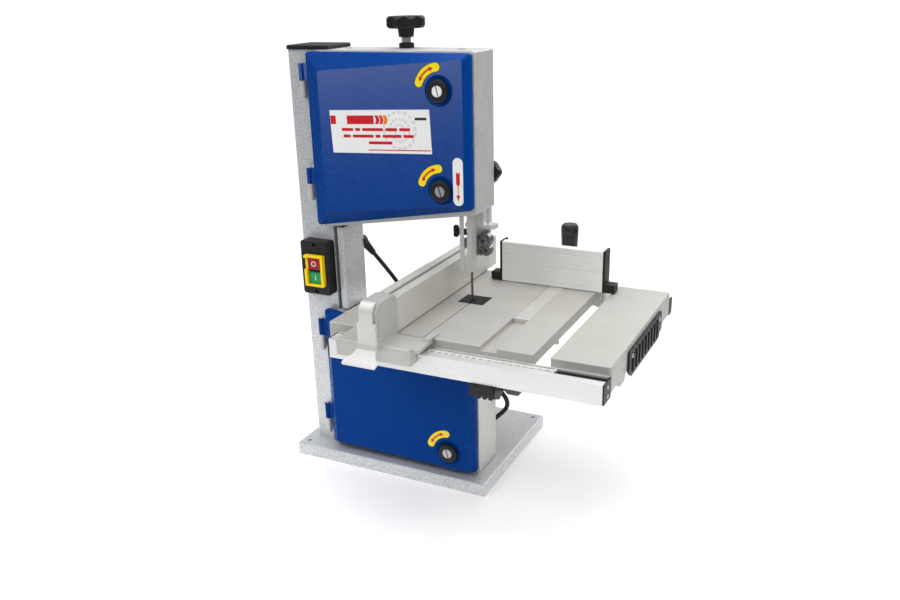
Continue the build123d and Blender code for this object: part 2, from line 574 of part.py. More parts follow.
def cables():
    """The lead from the column to the motor with its strain relief, and the mains cord's loop."""
    down_back = Vector(0.32, 0.5, -0.8).normalized()
    root = Vector(-82, COLUMN_BACK + 7, 352)
    relief = Plane(origin=root, z_dir=down_back)
    boot = relief * Cone(7.5, 4.6, 30, align=(Align.CENTER, Align.CENTER, Align.MIN))
    gland = rod_y(root.X, root.Z, 9, COLUMN_BACK, COLUMN_BACK + 9)
    ends = [root + down_back * 30.1, (-52, 6, 288), (-44, 30, 240), (MOTOR_X, 28, MOTOR_Z + 78)]
    lead_path = Spline(ends, tangents=[down_back, (0, 0, -1)])
    lead = sweep(Plane(origin=lead_path @ 0, z_dir=lead_path % 0) * Circle(3.4), path=lead_path)
    cord_path = Spline([(MOTOR_X + 26.5, 30, MOTOR_Z + 58), (60, 26, 172), (136, -12, 134),
                        (161, -16, 110), (153, -10, 88), (137, -22, 70), (133, -22, 45), (120, 10, 26)],
                       tangents=[(1, 0, 0), (-0.5, 0.8, 0)])
    cord = sweep(Plane(origin=cord_path @ 0, z_dir=cord_path % 0) * Circle(3.6), path=cord_path)
    return group(gland + boot, lead, cord)


# ---------------------------------------------------------------- upper blade guide
def guide_post():
    """The sliding post, an extruded channel with a groove in its outer side, and its foot."""
    x0, x1, y0, y1 = POST
    post = box(x0, x1, y0, y1, GUIDE_LOW + 58, 560)
    post -= box(x1 - 5, x1 + 1, y0 + 9, y1 - 9, GUIDE_LOW + 57, 561)
    foot = box(112, 158, -56, -38.5, GUIDE_LOW + 52, GUIDE_LOW + 58)
    foot = fillet(foot.edges().filter_by(Axis.Z), 2)
    plate = box(112, 146, -42, -38.5, GUIDE_LOW + 10, GUIDE_LOW + 53)
    plate = fillet(plate.edges().filter_by(Axis.Y).sort_by(Axis.Z)[:2], 8)
    return post + foot + plate


def blade_guard():
    """The folded cover in front of the blade: two strips with a sight slot, and the right side."""
    sheet = 1.2
    left, slot_left, slot_right, right = 116, 122.5, 127.3, 135
    y0, y1 = GUARD_FRONT, POST[2] - GAP
    guard = box(left, right, y0, y0 + sheet, GUARD_LOW, GUARD_TOP)
    guard -= box(slot_left, slot_right, y0 - 1, y0 + 2, GUARD_LOW - 1, GUARD_TOP - 12)
    side = box(right - sheet, right, y0, y1, GUARD_LOW, GUARD_TOP)
    flange = box(right - sheet, POST[1] - 1, y1 - sheet, y1, GUIDE_LOW + 58, GUARD_TOP)
    return guard + side + flange


def guide_rollers():
    """Side bearings beside the blade and the thrust bearing behind it, on their carriers."""
    z = GUIDE_LOW + 30
    plate_face = -42.05
    pieces = []
    for side in (-1, 1):
        x = BLADE_X + side * 7.9
        bearing = rod_y(x, z, 7.5, BLADE_FRONT + 3.5, BLADE_BACK + 2.5)
        bearing += rod_y(x, z, 3, BLADE_FRONT + 1, plate_face)
        if side == 1:
            bearing += guide_carrier(plate_face)
        pieces.append(bearing)
    thrust = rod_x(BLADE_BACK + 8.3, z - 15, 7.5, BLADE_X - 3.5, BLADE_X + 3.5)
    block = box(BLADE_X - 9, BLADE_X - 3.8, -52, plate_face, z - 20, z - 10)
    pieces.append(thrust + block)
    return group(*pieces)


def guide_carrier(back):
    """The round steel carrier right of the blade, with two socket screws in stepped bosses."""
    z = GUIDE_LOW + 34
    carrier = rod_y(141, z, 11, -54, back)
    carrier += rod_y(141, z, 7, -57, back)
    carrier += rod_y(143.5, z - 16, 8, -52, back)
    carrier += rod_y(136.5, z - 17, 6, -55, back)
    for x, depth, front in ((141, 0, -57), (143.5, -16, -52), (136.5, -17, -55)):
        carrier -= rod_y(x, z + depth, 2.4, front - 1, front + 3)
    return carrier


def guide_lock_knob():
    """The knob behind the upper housing whose screw clamps the guide post."""
    place = Pos(POST_MIDDLE, HOUSE_BACK + 2, GUIDE_LOCK_Z) * AT_BACK
    screw = rod_y(POST_MIDDLE, GUIDE_LOCK_Z, 3, POST[3] + RUN, HOUSE_BACK + 3)
    return lobed_knob(16.5, 13, 5, place) + screw


def guide_adjust_knob():
    """The wing knob on the left of the guide that sets its bearings."""
    y, z = -40, GUIDE_LOW + 40
    hub = rod_x(y, z, 5, 91, 109)
    wing = box(86.5, 94, y - 2, y + 2, z - 9, z + 9)
    wing = fillet(wing.edges().filter_by(Axis.Y), 2.5)
    return hub + wing + rod_x(y, z, 2.5, 105, 111.9)


def lower_guide():
    """The blade guide under the table: a bracket on the lower housing with two bearings."""
    x = BLADE_X
    left, right = x - 30, x + 22
    foot = across_y([(left, lower_top(left)), (right, lower_top(right)),
                     (right, lower_top(right) + 4), (left, lower_top(left) + 4)], -54, -40)
    stem = across_y([(x - 12, lower_top(x - 12) + 1), (x + 12, lower_top(x + 12) + 1),
                     (x + 12, 242), (x - 12, 242)], -46, -42)
    pieces = [foot + stem]
    for side in (-1, 1):
        centre = x + side * 6.9
        pieces.append(rod_y(centre, 233, 6.5, BLADE_FRONT + 3, -46.05))
    return group(*pieces)


# ---------------------------------------------------------------- table
def table():
    """The cast table: a ribbed skin with deep edges, a mitre slot and the blade's slit."""
    cast = box(TABLE_LEFT, TABLE_RIGHT, TABLE_FRONT, TABLE_REAR, TABLE_UNDER, TABLE_TOP)
    cast = fillet(cast.edges().filter_by(Axis.Z), 3)
    cast = chamfer(cast.faces().sort_by(Axis.Z)[-1].edges(), 1)
    wall = 6
    skin_z = TABLE_TOP - TABLE_SKIN
    ribs = [TABLE_LEFT + wall, 95, 160, TABLE_RIGHT - wall]
    for left, right in zip(ribs[:-1], ribs[1:]):
        cast -= box(left + 2.5, right - 2.5, TABLE_FRONT + wall, -95, TABLE_UNDER - 1, skin_z)
        cast -= box(left + 2.5, right - 2.5, -90, TABLE_REAR - wall, TABLE_UNDER - 1, skin_z)
    cast -= box(TABLE_RIGHT - wall - 4, TABLE_RIGHT + 1, TABLE_FRONT + 12, TABLE_REAR - 12,
                TABLE_UNDER - 1, TABLE_TOP - TABLE_EDGE)
    cast -= box(SLOT_LEFT, SLOT_RIGHT, TABLE_FRONT - 1, TABLE_REAR + 1, TABLE_TOP - SLOT_DEPTH, TABLE_TOP + 1)
    x0, x1, y0, y1 = INSERT
    cast -= box(x0, x1, y0, y1, TABLE_TOP - 4, TABLE_TOP + 1)
    cast -= box(x0 + 4, x1 - 4, y0 + 4, y1 - 4, TABLE_UNDER, TABLE_TOP)
    return cast - box(BLADE_X - 0.9, BLADE_X + 0.9, TABLE_FRONT - 1, y0 + 5, TABLE_UNDER - 1, TABLE_TOP + 1)


def table_insert():
    """The plastic plate around the blade."""
    x0, x1, y0, y1 = INSERT
    plate = box(x0 + 0.2, x1 - 0.2, y0 + 0.2, y1 - 0.2, TABLE_TOP - 4, TABLE_TOP)
    plate -= box(BLADE_X - 1.6, BLADE_X + 2.8, y0 - 1, BLADE_BACK + 4, TABLE_TOP - 5, TABLE_TOP + 1)
    return plate


def sector(radius, y0, y1, start, end):
    """A pie-shaped plate around the tilt axis, between two angles below the table."""
    def at(angle):
        return (BLADE_X + radius * sin(radians(angle)), TABLE_TOP - radius * cos(radians(angle)))

    hub, first, last = (BLADE_X, TABLE_TOP), at(start), at(end)
    outline = [Line(hub, first), ThreePointArc(first, at((start + end) / 2), last), Line(last, hub)]
    return Pos(0, y1, 0) * (Plane.XZ * extrude(make_face(outline), y1 - y0))


def trunnion_bracket():
    """The fixed plate behind the lower housing, with the arc slot of the table's tilt."""
    plate = box(BLADE_X - 42, HOUSE_RIGHT - 0.5, HOUSE_BACK, HOUSE_BACK + 5, 150, 205)
    ear = sector(TILT_SLOT_R + 12, HOUSE_BACK, HOUSE_BACK + 5, -62, 34)
    ear -= sector(TILT_SLOT_R - 12, HOUSE_BACK - 1, HOUSE_BACK + 6, -80, 80)
    ear -= box(0, 300, HOUSE_BACK - 1, HOUSE_BACK + 6, 246, 320)
    slot = sector(TILT_SLOT_R + 4.2, HOUSE_BACK - 1, HOUSE_BACK + 6, -50, 8)
    slot -= sector(TILT_SLOT_R - 4.2, HOUSE_BACK - 2, HOUSE_BACK + 7, -70, 20)
    return plate + ear - slot


def table_trunnion():
    """The quadrant under the table that turns with it; its stud runs in the arc slot."""
    y0, y1 = HOUSE_BACK + 5.3, HOUSE_BACK + 10.3
    quadrant = sector(TILT_SLOT_R + 12, y0, y1, -24, 24)
    quadrant -= box(0, 300, y0 - 1, y1 + 1, TABLE_TOP - TABLE_SKIN, 320)
    return quadrant - rod_y(BLADE_X, TABLE_TOP - TILT_SLOT_R, 4.1, y0 - 1, y1 + 1)


def tilt_lock_knob():
    """The knob behind the quadrant that locks the tilt, with its stud."""
    z = TABLE_TOP - TILT_SLOT_R
    knob = lobed_knob(18, 16, 5, Pos(BLADE_X, HOUSE_BACK + 12, z) * AT_BACK)
    return knob + rod_y(BLADE_X, z, 4, HOUSE_BACK + 0.6, HOUSE_BACK + 13)


# ---------------------------------------------------------------- extension table and rails
def extension_table():
    """The narrow sliding table, deeper in the middle of its outer edge."""
    cast = box(EXT_LEFT, EXT_RIGHT, TABLE_FRONT - 0.3, TABLE_REAR, TABLE_UNDER, TABLE_TOP)
    cast = fillet(cast.edges().filter_by(Axis.Z), 3)
    cast = chamfer(cast.faces().sort_by(Axis.Z)[-1].edges(), 1)
    wall = 6
    cast -= box(EXT_LEFT + wall, EXT_RIGHT - wall, TABLE_FRONT + wall, TABLE_REAR - wall,
                TABLE_UNDER - 1, TABLE_TOP - TABLE_SKIN)
    for y in (-165, 34):
        leg = across_x([(y - 15, TABLE_UNDER + 1), (y + 15, TABLE_UNDER + 1), (y + 10, 244), (y - 10, 244)],
                       EXT_RIGHT - wall, EXT_RIGHT)
        cast += leg
    return cast


def extension_grip():
    """The ribbed pull grip on the outer edge of the sliding table."""
    x0 = EXT_RIGHT
    grip = across_x([(-145, 279.5), (26, 279.5), (26, 258), (12, 242), (-133, 242), (-145, 251)], x0, x0 + 3.2, 2.5)
    for index in range(9):
        y = -128 + index * 16
        rib = box(x0 + 3, x0 + 5.2, y - 2.4, y + 2.4, 247, 274)
        grip += fillet(rib.edges().filter_by(Axis.X), 2)
    return grip


def extension_rails():
    """The front and rear rails that carry the sliding table: hollow extrusions."""
    y0, y1 = RAIL_FRONT, TABLE_FRONT - 0.3
    front = box(RAIL_LEFT, RAIL_RIGHT, y0, y1, RAIL_UNDER, RAIL_TOP)
    front -= box(RAIL_LEFT - 1, RAIL_RIGHT + 1, y0 + 2.5, y1 - 2.5, RAIL_UNDER + 2.5, RAIL_TOP - 11)
    front -= box(RAIL_LEFT - 1, RAIL_RIGHT + 1, y0 + 12, y1 - 3, RAIL_TOP - 8, RAIL_TOP + 1)
    y2, y3 = TABLE_REAR + 0.3, TABLE_REAR + 17
    rear = box(RAIL_LEFT, RAIL_RIGHT, y2, y3, 250, RAIL_TOP)
    rear -= box(RAIL_LEFT - 1, RAIL_RIGHT + 1, y2 + 2.5, y3 - 2.5, 252.5, RAIL_TOP - 2.5)
    return group(front, rear)


def rail_end_caps():
    """Plastic plugs on both ends of both rails."""
    pieces = []
    for x0, x1 in ((RAIL_LEFT - 2, RAIL_LEFT), (RAIL_RIGHT, RAIL_RIGHT + 2)):
        for y0, y1, z0 in ((RAIL_FRONT, TABLE_FRONT - 0.3, RAIL_UNDER), (TABLE_REAR + 0.3, TABLE_REAR + 17, 250)):
            cap = box(x0, x1, y0 + 0.2, y1 - 0.2, z0 + 0.2, RAIL_TOP - 0.2)
            pieces.append(fillet(cap.edges().filter_by(Axis.X), 1.5))
    return group(*pieces)


def scale_strip():
    """The strip that carries the scale, in the groove of the front rail."""
    return box(RAIL_LEFT, 316, RAIL_FRONT + 12.1, TABLE_FRONT - 3.4, RAIL_TOP - 8, RAIL_TOP - 0.2)


def extension_lock_lever():
    """The ribbed cam lever under the front rail that locks the sliding table."""
    body = box(207.5, 241, -252, -236, 233.4, 247.6)
    body = fillet(body.edges().filter_by(Axis.X), 2)
    for index in range(4):
        x = 212 + index * 8.3
        body += rod_y(x, 233, 3.3, -251.5, -240)
    side = across_x([(-252, 233), (-236, 226), (LEVER_Y, LEVER_Z - 6), (LEVER_Y, LEVER_Z + 6), (-250, 247.6)], 236, 243)
    hub = rod_x(LEVER_Y, LEVER_Z, 7, 230, 250)
    return body + side + hub - rod_x(LEVER_Y, LEVER_Z, 3 + RUN, 220, 260)


def extension_clamp():
    """The bracket under the table's front edge that carries the locking lever on a pin."""
    pieces = box(222, 229, -227, TABLE_FRONT + 16, 232, RAIL_UNDER - 0.4)
    pieces += box(251, 266, -244, TABLE_FRONT + 16, 232, RAIL_UNDER - 0.4)
    pieces += box(222, 266, TABLE_FRONT + 3, TABLE_FRONT + 16, 244, RAIL_UNDER - 0.4)
    pieces += box(222, 266, TABLE_FRONT + 1, TABLE_FRONT + 5.5, RAIL_UNDER - 1, TABLE_UNDER)
    pieces -= across_x([(-245, 231), (-245, 247), (-228, 231)], 250, 267)
    return pieces + rod_x(LEVER_Y, LEVER_Z, 3, 222, 258)


# ---------------------------------------------------------------- rip fence
def fence_profile():
    """The fence: a hollow extrusion with a T-slot along its top."""
    beam = box(FENCE_LEFT, FENCE_RIGHT, FENCE_FRONT, FENCE_REAR, FENCE_UNDER, FENCE_TOP)
    beam = fillet(beam.edges().filter_by(Axis.Y), 1)
    y0, y1 = FENCE_FRONT - 1, FENCE_REAR + 1
    beam -= box(FENCE_LEFT + 2.5, FENCE_RIGHT - 2.5, y0, y1, FENCE_UNDER + 2.5, FENCE_TOP - 12)
    middle = (FENCE_LEFT + FENCE_RIGHT) / 2
    beam -= box(middle - 3.2, middle + 3.2, y0, y1, FENCE_TOP - 6, FENCE_TOP + 1)
    return beam - box(middle - 6, middle + 6, y0, y1, FENCE_TOP - 9.5, FENCE_TOP - 3)


def fence_head():
    """The cast head: a saddle on the rail with its pointer, and the upright for the cam lever."""
    saddle = box(18, 130, -268.5, -221, 264.5, TABLE_TOP)
    saddle = fillet(saddle.edges().filter_by(Axis.X).sort_by(Axis.Y)[:2], 2)
    saddle -= box(10, 140, RAIL_FRONT - 1.5, -215, 260, RAIL_TOP + 0.3)
    top = 345.5
    upright = across_x([(-272.6, TABLE_TOP - 1), (-220.8, TABLE_TOP - 1), (FENCE_FRONT - GAP, TABLE_TOP + 1),
                        (FENCE_FRONT - GAP, top - 5), (-224, top), (FENCE_CAM_Y, top), (-272.6, 334)],
                       HEAD_LEFT, FENCE_RIGHT)
    upright -= rod_x(FENCE_CAM_Y, FENCE_CAM_Z, FENCE_CAM_R + 0.5, HEAD_LEFT + 3.2, FENCE_RIGHT - 3.2)
    upright -= box(HEAD_LEFT + 3.2, FENCE_RIGHT - 3.2, -280, FENCE_CAM_Y, 322, 350)
    upright -= box(FENCE_RIGHT - 1.2, FENCE_RIGHT + 1, -270.5, -265, 299, 325)
    upright -= rod_x(FENCE_CAM_Y, FENCE_CAM_Z, 3 + RUN, 50, 90)
    upright -= rod_x(-225.5, 337, 2.5, FENCE_RIGHT - 2, 90)
    pointer = box(129, 140, -262, -221.5, 283, TABLE_TOP) + box(129, 140, -232, -221.5, 286, 290)
    pointer += box(130, 140, -230, -203, TABLE_TOP + GAP, 291.5)
    return saddle + upright + pointer


def fence_lever():
    """The cam lever: a barrel across the head, a flat arm and a flared, ribbed thumb pad."""
    barrel = rod_x(FENCE_CAM_Y, FENCE_CAM_Z, FENCE_CAM_R, HEAD_LEFT + 3.6, FENCE_RIGHT - 3.6)
    front = FENCE_CAM_Y - FENCE_CAM_R
    arm = box(HEAD_LEFT + 3.6, FENCE_RIGHT - 3.6, front, front + 4, 318, FENCE_CAM_Z)
    skirt = box(HEAD_LEFT, FENCE_RIGHT, front, front + 4, 290, 320.5)
    curl = across_x([(front, 291), (front + 4, 291), (front + 2.5, 282), (front - 6, 274.5), (front - 24, 268.5),
                     (front - 25.5, 272), (front - 9, 278), (front - 2, 284)], HEAD_LEFT - 12, FENCE_RIGHT + 12)
    middle = (HEAD_LEFT + FENCE_RIGHT) / 2
    half = (FENCE_RIGHT - HEAD_LEFT) / 2
    trim = [(middle - half, 0), (middle + half, 0), (middle + half, 6), (middle + half + 4, 14),
            (middle + half + 11, 22), (middle + half + 11, 34), (middle - half - 11, 34),
            (middle - half - 11, 22), (middle - half - 4, 14), (middle - half, 6)]
    cutter = make_face(Polyline([(x, front + 5 - depth) for x, depth in trim], close=True))
    arm += skirt + (curl & (Pos(0, 0, 255) * extrude(cutter, 60)))
    for index in range(4):
        depth = 9 + index * 4.4
        z = 279.6 - depth * 0.31
        arm += rod_x(front - depth, z, 1.1, middle - half - 2 - index, middle + half + 2 + index)
    arm += barrel
    return arm - rod_x(FENCE_CAM_Y, FENCE_CAM_Z, 3 + RUN, 50, 90)


def fence_screws():
    """The cam lever's pin and the screw that holds the fence to its head."""
    pin = rod_x(FENCE_CAM_Y, FENCE_CAM_Z, 3, HEAD_LEFT, FENCE_RIGHT)
    screw = rod_x(-225.5, 337, 2.4, FENCE_RIGHT - 2, FENCE_RIGHT + 0.3)
    return group(pin, screw)


# ---------------------------------------------------------------- mitre gauge
def mitre_bar():
    """The flat bar that slides in the table's slot, with the pivot stud of the head."""
    play = 0.5
    bar = box(SLOT_LEFT + play, SLOT_RIGHT - play, TABLE_FRONT + 113, 172,
              TABLE_TOP - SLOT_DEPTH + 0.1, TABLE_TOP + 0.2)
    bar = chamfer(bar.faces().sort_by(Axis.Z)[-1].edges(), 0.4)
    return bar + rod_z(MITRE_X, MITRE_Y, 4, TABLE_TOP, TABLE_TOP + 9)


def mitre_head():
    """The half-round head that turns on the bar, with the lugs that hold the fence."""
    z0 = TABLE_TOP + 0.4
    disc = rod_z(MITRE_X, MITRE_Y, 42, z0, z0 + 7)
    disc -= box(100, 350, MITRE_Y + 12, 200, z0 - 1, z0 + 8)
    lug = box(MITRE_X - 40, MITRE_X + 40, MITRE_FACE_Y + 14.2, MITRE_FACE_Y + 22, z0, z0 + 34)
    lug = fillet(lug.edges().filter_by(Axis.Y).sort_by(Axis.Z)[-2:], 8)
    boss = rod_z(MITRE_X, MITRE_Y, 13, z0, z0 + 12)
    return disc + lug + boss - rod_z(MITRE_X, MITRE_Y, 4 + RUN, z0 - 1, z0 + 20)


def mitre_fence():
    """The mitre gauge's face: a grooved extrusion with a T-slot behind."""
    z0 = TABLE_TOP + 0.8
    y0, y1 = MITRE_FACE_Y, MITRE_FACE_Y + 14
    beam = box(MITRE_LEFT, MITRE_RIGHT, y0, y1, z0, MITRE_TOP)
    beam = fillet(beam.edges().filter_by(Axis.X), 0.8)
    for z in (z0 + 6, z0 + 30, z0 + 53):
        beam -= rod_x(y0 - 0.5, z, 1.1, MITRE_LEFT - 1, MITRE_RIGHT + 1)
    slot_z = z0 + 22
    beam -= box(MITRE_LEFT - 1, MITRE_RIGHT + 1, y1 - 2.5, y1 + 1, slot_z - 4, slot_z + 4)
    beam -= box(MITRE_LEFT - 1, MITRE_RIGHT + 1, y1 - 7, y1 - 2.4, slot_z - 7, slot_z + 7)
    return beam - box(MITRE_LEFT - 1, MITRE_RIGHT + 1, y0 + 3, y1 - 3, z0 + 34, MITRE_TOP - 3)


def mitre_end_caps():
    """End plates on the mitre fence, each with a square stop block at its foot."""
    pieces = []
    z0 = TABLE_TOP + 0.8
    for side, x in ((-1, MITRE_LEFT), (1, MITRE_RIGHT)):
        low, high = sorted((x, x + side * 3.5))
        plate = box(low, high, MITRE_FACE_Y - 0.3, MITRE_FACE_Y + 24, z0, MITRE_TOP + 0.5)
        far = x + side * 19
        low, high = sorted((x + side * 3, far))
        block = box(low, high, MITRE_FACE_Y + 1, MITRE_FACE_Y + 19, z0, z0 + 13)
        block = fillet(block.edges().filter_by(Axis.Y), 1.5)
        pieces.append(plate + block)
    return group(*pieces)


def mitre_handle():
    """The tapered hand grip that clamps the head to the bar."""
    z0 = TABLE_TOP + 13
    outline = [(0, z0), (10, z0), (11.5, z0 + 12), (13.5, z0 + 62), (13.5, z0 + 70), (11, z0 + 74), (0, z0 + 74)]
    return turned(outline, Pos(MITRE_X, MITRE_Y, 0))


PARTS = {
    "base_plate": base_plate, "column": column, "column_cap": column_cap,
    "upper_housing": upper_housing, "lower_housing": lower_housing,
    "upper_door": upper_door, "lower_door": lower_door, "hinge_brackets": hinge_brackets,
    "top_lock": lambda: door_lock(LOCKS_UPPER[0]), "middle_lock": lambda: door_lock(LOCKS_UPPER[1]),
    "lower_lock": lambda: door_lock(LOCK_LOWER),
    "switch_box": switch_box, "switch_surround": switch_surround,
    "stop_button": lambda: button(BUTTON_RED, 5.5), "start_button": lambda: button(BUTTON_GREEN, 3),
    "upper_wheel": lambda: wheel(UPPER_Z), "lower_wheel": lambda: wheel(LOWER_Z),
    "upper_tyre": lambda: tyre(UPPER_Z), "lower_tyre": lambda: tyre(LOWER_Z), "blade": blade,
    "carriage": carriage, "axle_block": axle_block, "tracking_knob": tracking_knob,
    "tension_knob": tension_knob, "tension_bush": tension_bush, "tension_spring": tension_spring,
    "lower_spindle": lower_spindle, "lower_bearing": lower_bearing, "drive_belt": drive_belt,
    "motor": motor, "motor_pulley": motor_pulley, "dust_port": dust_port, "cables": cables,
    "guide_post": guide_post, "blade_guard": blade_guard, "guide_rollers": guide_rollers,
    "guide_lock_knob": guide_lock_knob, "guide_adjust_knob": guide_adjust_knob,
    "lower_guide": lower_guide, "table": table, "table_insert": table_insert,
    "trunnion_bracket": trunnion_bracket, "table_trunnion": table_trunnion,
    "tilt_lock_knob": tilt_lock_knob, "extension_table": extension_table,
    "extension_grip": extension_grip, "extension_rails": extension_rails,
    "rail_end_caps": rail_end_caps, "scale_strip": scale_strip,
    "extension_lock_lever": extension_lock_lever, "extension_clamp": extension_clamp,
    "fence_profile": fence_profile, "fence_head": fence_head, "fence_lever": fence_lever,
    "fence_screws": fence_screws, "mitre_bar": mitre_bar, "mitre_head": mitre_head,
    "mitre_fence": mitre_fence, "mitre_end_caps": mitre_end_caps, "mitre_handle": mitre_handle,
}

os.makedirs("parts", exist_ok=True)
for name, make in PARTS.items():
    export_step(make(), f"parts/{name}.step")
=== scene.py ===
import bpy
import bmesh
import json
from math import cos, radians, sin
from mathutils import Matrix, Vector


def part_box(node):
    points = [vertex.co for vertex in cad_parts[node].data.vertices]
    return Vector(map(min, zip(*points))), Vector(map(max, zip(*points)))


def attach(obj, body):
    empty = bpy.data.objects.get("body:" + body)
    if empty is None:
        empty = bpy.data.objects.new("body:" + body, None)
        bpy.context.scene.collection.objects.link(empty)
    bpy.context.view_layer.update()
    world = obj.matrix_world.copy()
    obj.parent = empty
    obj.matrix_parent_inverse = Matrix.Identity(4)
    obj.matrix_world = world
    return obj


MM = 0.001
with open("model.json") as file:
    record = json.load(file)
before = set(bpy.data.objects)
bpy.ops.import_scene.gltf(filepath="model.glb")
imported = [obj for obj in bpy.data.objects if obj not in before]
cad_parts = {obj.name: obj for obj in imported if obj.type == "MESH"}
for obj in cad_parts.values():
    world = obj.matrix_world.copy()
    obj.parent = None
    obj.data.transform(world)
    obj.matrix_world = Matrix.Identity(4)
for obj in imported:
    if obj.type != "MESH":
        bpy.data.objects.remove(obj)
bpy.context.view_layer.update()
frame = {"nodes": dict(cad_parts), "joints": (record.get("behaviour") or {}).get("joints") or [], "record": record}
RECORD = frame["record"]
SCENE = bpy.context.scene


# ---------------------------------------------------------------- places, all from the frame
def low(node):
    """A node's lowest corner, at rest."""
    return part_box(node)[0]


def high(node):
    """A node's highest corner, at rest."""
    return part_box(node)[1]


def middle(node):
    """The middle of a node's box, at rest."""
    return (low(node) + high(node)) / 2


def joint_place(name):
    """Where a joint's axis is, at rest."""
    return Vector(next(j["pos_m"] for j in frame["joints"] if j["name"] == name))


RIGHT = Vector((1, 0, 0))
BACK = Vector((0, 1, 0))
UP = Vector((0, 0, 1))
LOCK_JOINTS = {"top_lock": "top_lock_turn", "middle_lock": "middle_lock_turn",
               "lower_lock": "lower_lock_turn"}
LOCK_DOOR = {"top_lock": "upper_door", "middle_lock": "upper_door", "lower_lock": "lower_door"}
DOOR_FACE = low("upper_door").y            # the raised panels' front


def facing(origin, across, up):
    """A matrix whose X runs across, Y runs up, and Z stands out of the surface."""
    out = across.cross(up).normalized()
    turn = Matrix((across.normalized(), up.normalized(), out)).transposed().to_4x4()
    return Matrix.Translation(origin) @ turn


def leaning(origin, degrees):
    """A place on a front face, turned about the axis that stands out of it."""
    lean = radians(degrees)
    return facing(origin, Vector((cos(lean), 0, sin(lean))), Vector((-sin(lean), 0, cos(lean))))


# ---------------------------------------------------------------- shader building
BEVEL_SAMPLES = 4
WEAR_STARTS, WEAR_FULL = 0.995, 0.86       # cosines between a face and its rounded edge
NOISE_LOW, NOISE_HIGH = 0.3, 0.7           # nearly all of a noise texture lies between these
MIX_A, MIX_B, MIX_COLOR = 6, 7, 2          # the colour sockets of Blender's Mix node


class Finish:
    """A node material: one Principled shader, with textures in the piece's own coordinates."""

    def __init__(self, name, color, metallic=0.0, roughness=0.5, edge_mm=0.6):
        self.material = bpy.data.materials.new(name)
        self.material.use_nodes = True
        self.material.diffuse_color = (*color, 1)
        self.tree = self.material.node_tree
        self.shader = self.tree.nodes["Principled BSDF"]
        self.color = self.rgb(color)
        self.set("Metallic", metallic)
        self.set("Roughness", roughness)
        self.place = self.add("ShaderNodeTexCoord").outputs["Object"]
        rounded = self.add("ShaderNodeBevel", samples=BEVEL_SAMPLES)
        rounded.inputs["Radius"].default_value = edge_mm * MM
        self.normal = rounded.outputs["Normal"]
        self.soft_normal = self.normal

    def add(self, kind, **settings):
        node = self.tree.nodes.new(kind)
        for key, value in settings.items():
            setattr(node, key, value)
        return node

    def link(self, source, target):
        self.tree.links.new(source, target)

    def set(self, socket, value):
        self.shader.inputs[socket].default_value = value

    def rgb(self, color):
        node = self.add("ShaderNodeRGB")
        node.outputs[0].default_value = (*color, 1)
        return node.outputs[0]

    def noise(self, size_mm, detail=3, stretch=(1, 1, 1)):
        """Noise whose features are about size_mm across, drawn out by stretch."""
        scaled = self.add("ShaderNodeMapping")
        scaled.inputs["Scale"].default_value = [1 / (size_mm * MM * s) for s in stretch]
        self.link(self.place, scaled.inputs["Vector"])
        node = self.add("ShaderNodeTexNoise")
        node.inputs["Scale"].default_value = 1
        node.inputs["Detail"].default_value = detail
        self.link(scaled.outputs["Vector"], node.inputs["Vector"])
        return node.outputs["Fac"]

    def cells(self, size_mm, feature="F1", output="Distance"):
        """Voronoi cells about size_mm across."""
        node = self.add("ShaderNodeTexVoronoi", feature=feature)
        node.inputs["Scale"].default_value = 1 / (size_mm * MM)
        self.link(self.place, node.inputs["Vector"])
        return node.outputs[output]

    def span(self, value, low_in, high_in, low_out=0.0, high_out=1.0):
        """Maps one range of a value to another."""
        node = self.add("ShaderNodeMapRange")
        for socket, number in zip(("From Min", "From Max", "To Min", "To Max"),
                                  (low_in, high_in, low_out, high_out)):
            node.inputs[socket].default_value = number
        self.link(value, node.inputs["Value"])
        return node.outputs["Result"]

    def tint(self, mask, color):
        """Blends the colour so far towards another where the mask is high."""
        node = self.add("ShaderNodeMix", data_type="RGBA")
        self.link(mask, node.inputs["Factor"])
        self.link(self.color, node.inputs[MIX_A])
        node.inputs[MIX_B].default_value = (*color, 1)
        self.color = node.outputs[MIX_COLOR]
        return self

    def patches(self, color, size_mm, detail, between, amount):
        """Blends towards a colour in patches, as noise rises between two values."""
        return self.tint(self.span(self.noise(size_mm, detail), *between, 0.0, amount), color)

    def rough(self, value, smoothest, roughest):
        """Lets the roughness wander between two values with a texture."""
        varied = self.span(value, NOISE_LOW, NOISE_HIGH, smoothest, roughest)
        self.link(varied, self.shader.inputs["Roughness"])
        return self

    def bump(self, value, depth_mm, strength=1.0):
        """Adds relief on top of the rounded edges."""
        node = self.add("ShaderNodeBump")
        node.inputs["Strength"].default_value = strength
        node.inputs["Distance"].default_value = depth_mm * MM
        self.link(value, node.inputs["Height"])
        self.link(self.normal, node.inputs["Normal"])
        self.normal = node.outputs["Normal"]
        return self

    def worn_edges(self, color, amount=0.7):
        """Lightens the sharp edges, unevenly, where paint or skin has rubbed thin."""
        geometry = self.add("ShaderNodeNewGeometry")
        dot = self.add("ShaderNodeVectorMath", operation="DOT_PRODUCT")
        self.link(self.soft_normal, dot.inputs[0])
        self.link(geometry.outputs["Normal"], dot.inputs[1])
        edge = self.span(dot.outputs["Value"], WEAR_STARTS, WEAR_FULL, 0.0, amount)
        uneven = self.span(self.noise(9, 4), 0.35, 0.6, 0.25, 1.0)
        patchy = self.add("ShaderNodeMath", operation="MULTIPLY")
        self.link(edge, patchy.inputs[0])
        self.link(uneven, patchy.inputs[1])
        return self.tint(patchy.outputs[0], color)

    def done(self):
        """Joins the colour and the relief to the shader, and gives the material."""
        self.link(self.color, self.shader.inputs["Base Color"])
        self.link(self.normal, self.shader.inputs["Normal"])
        return self.material


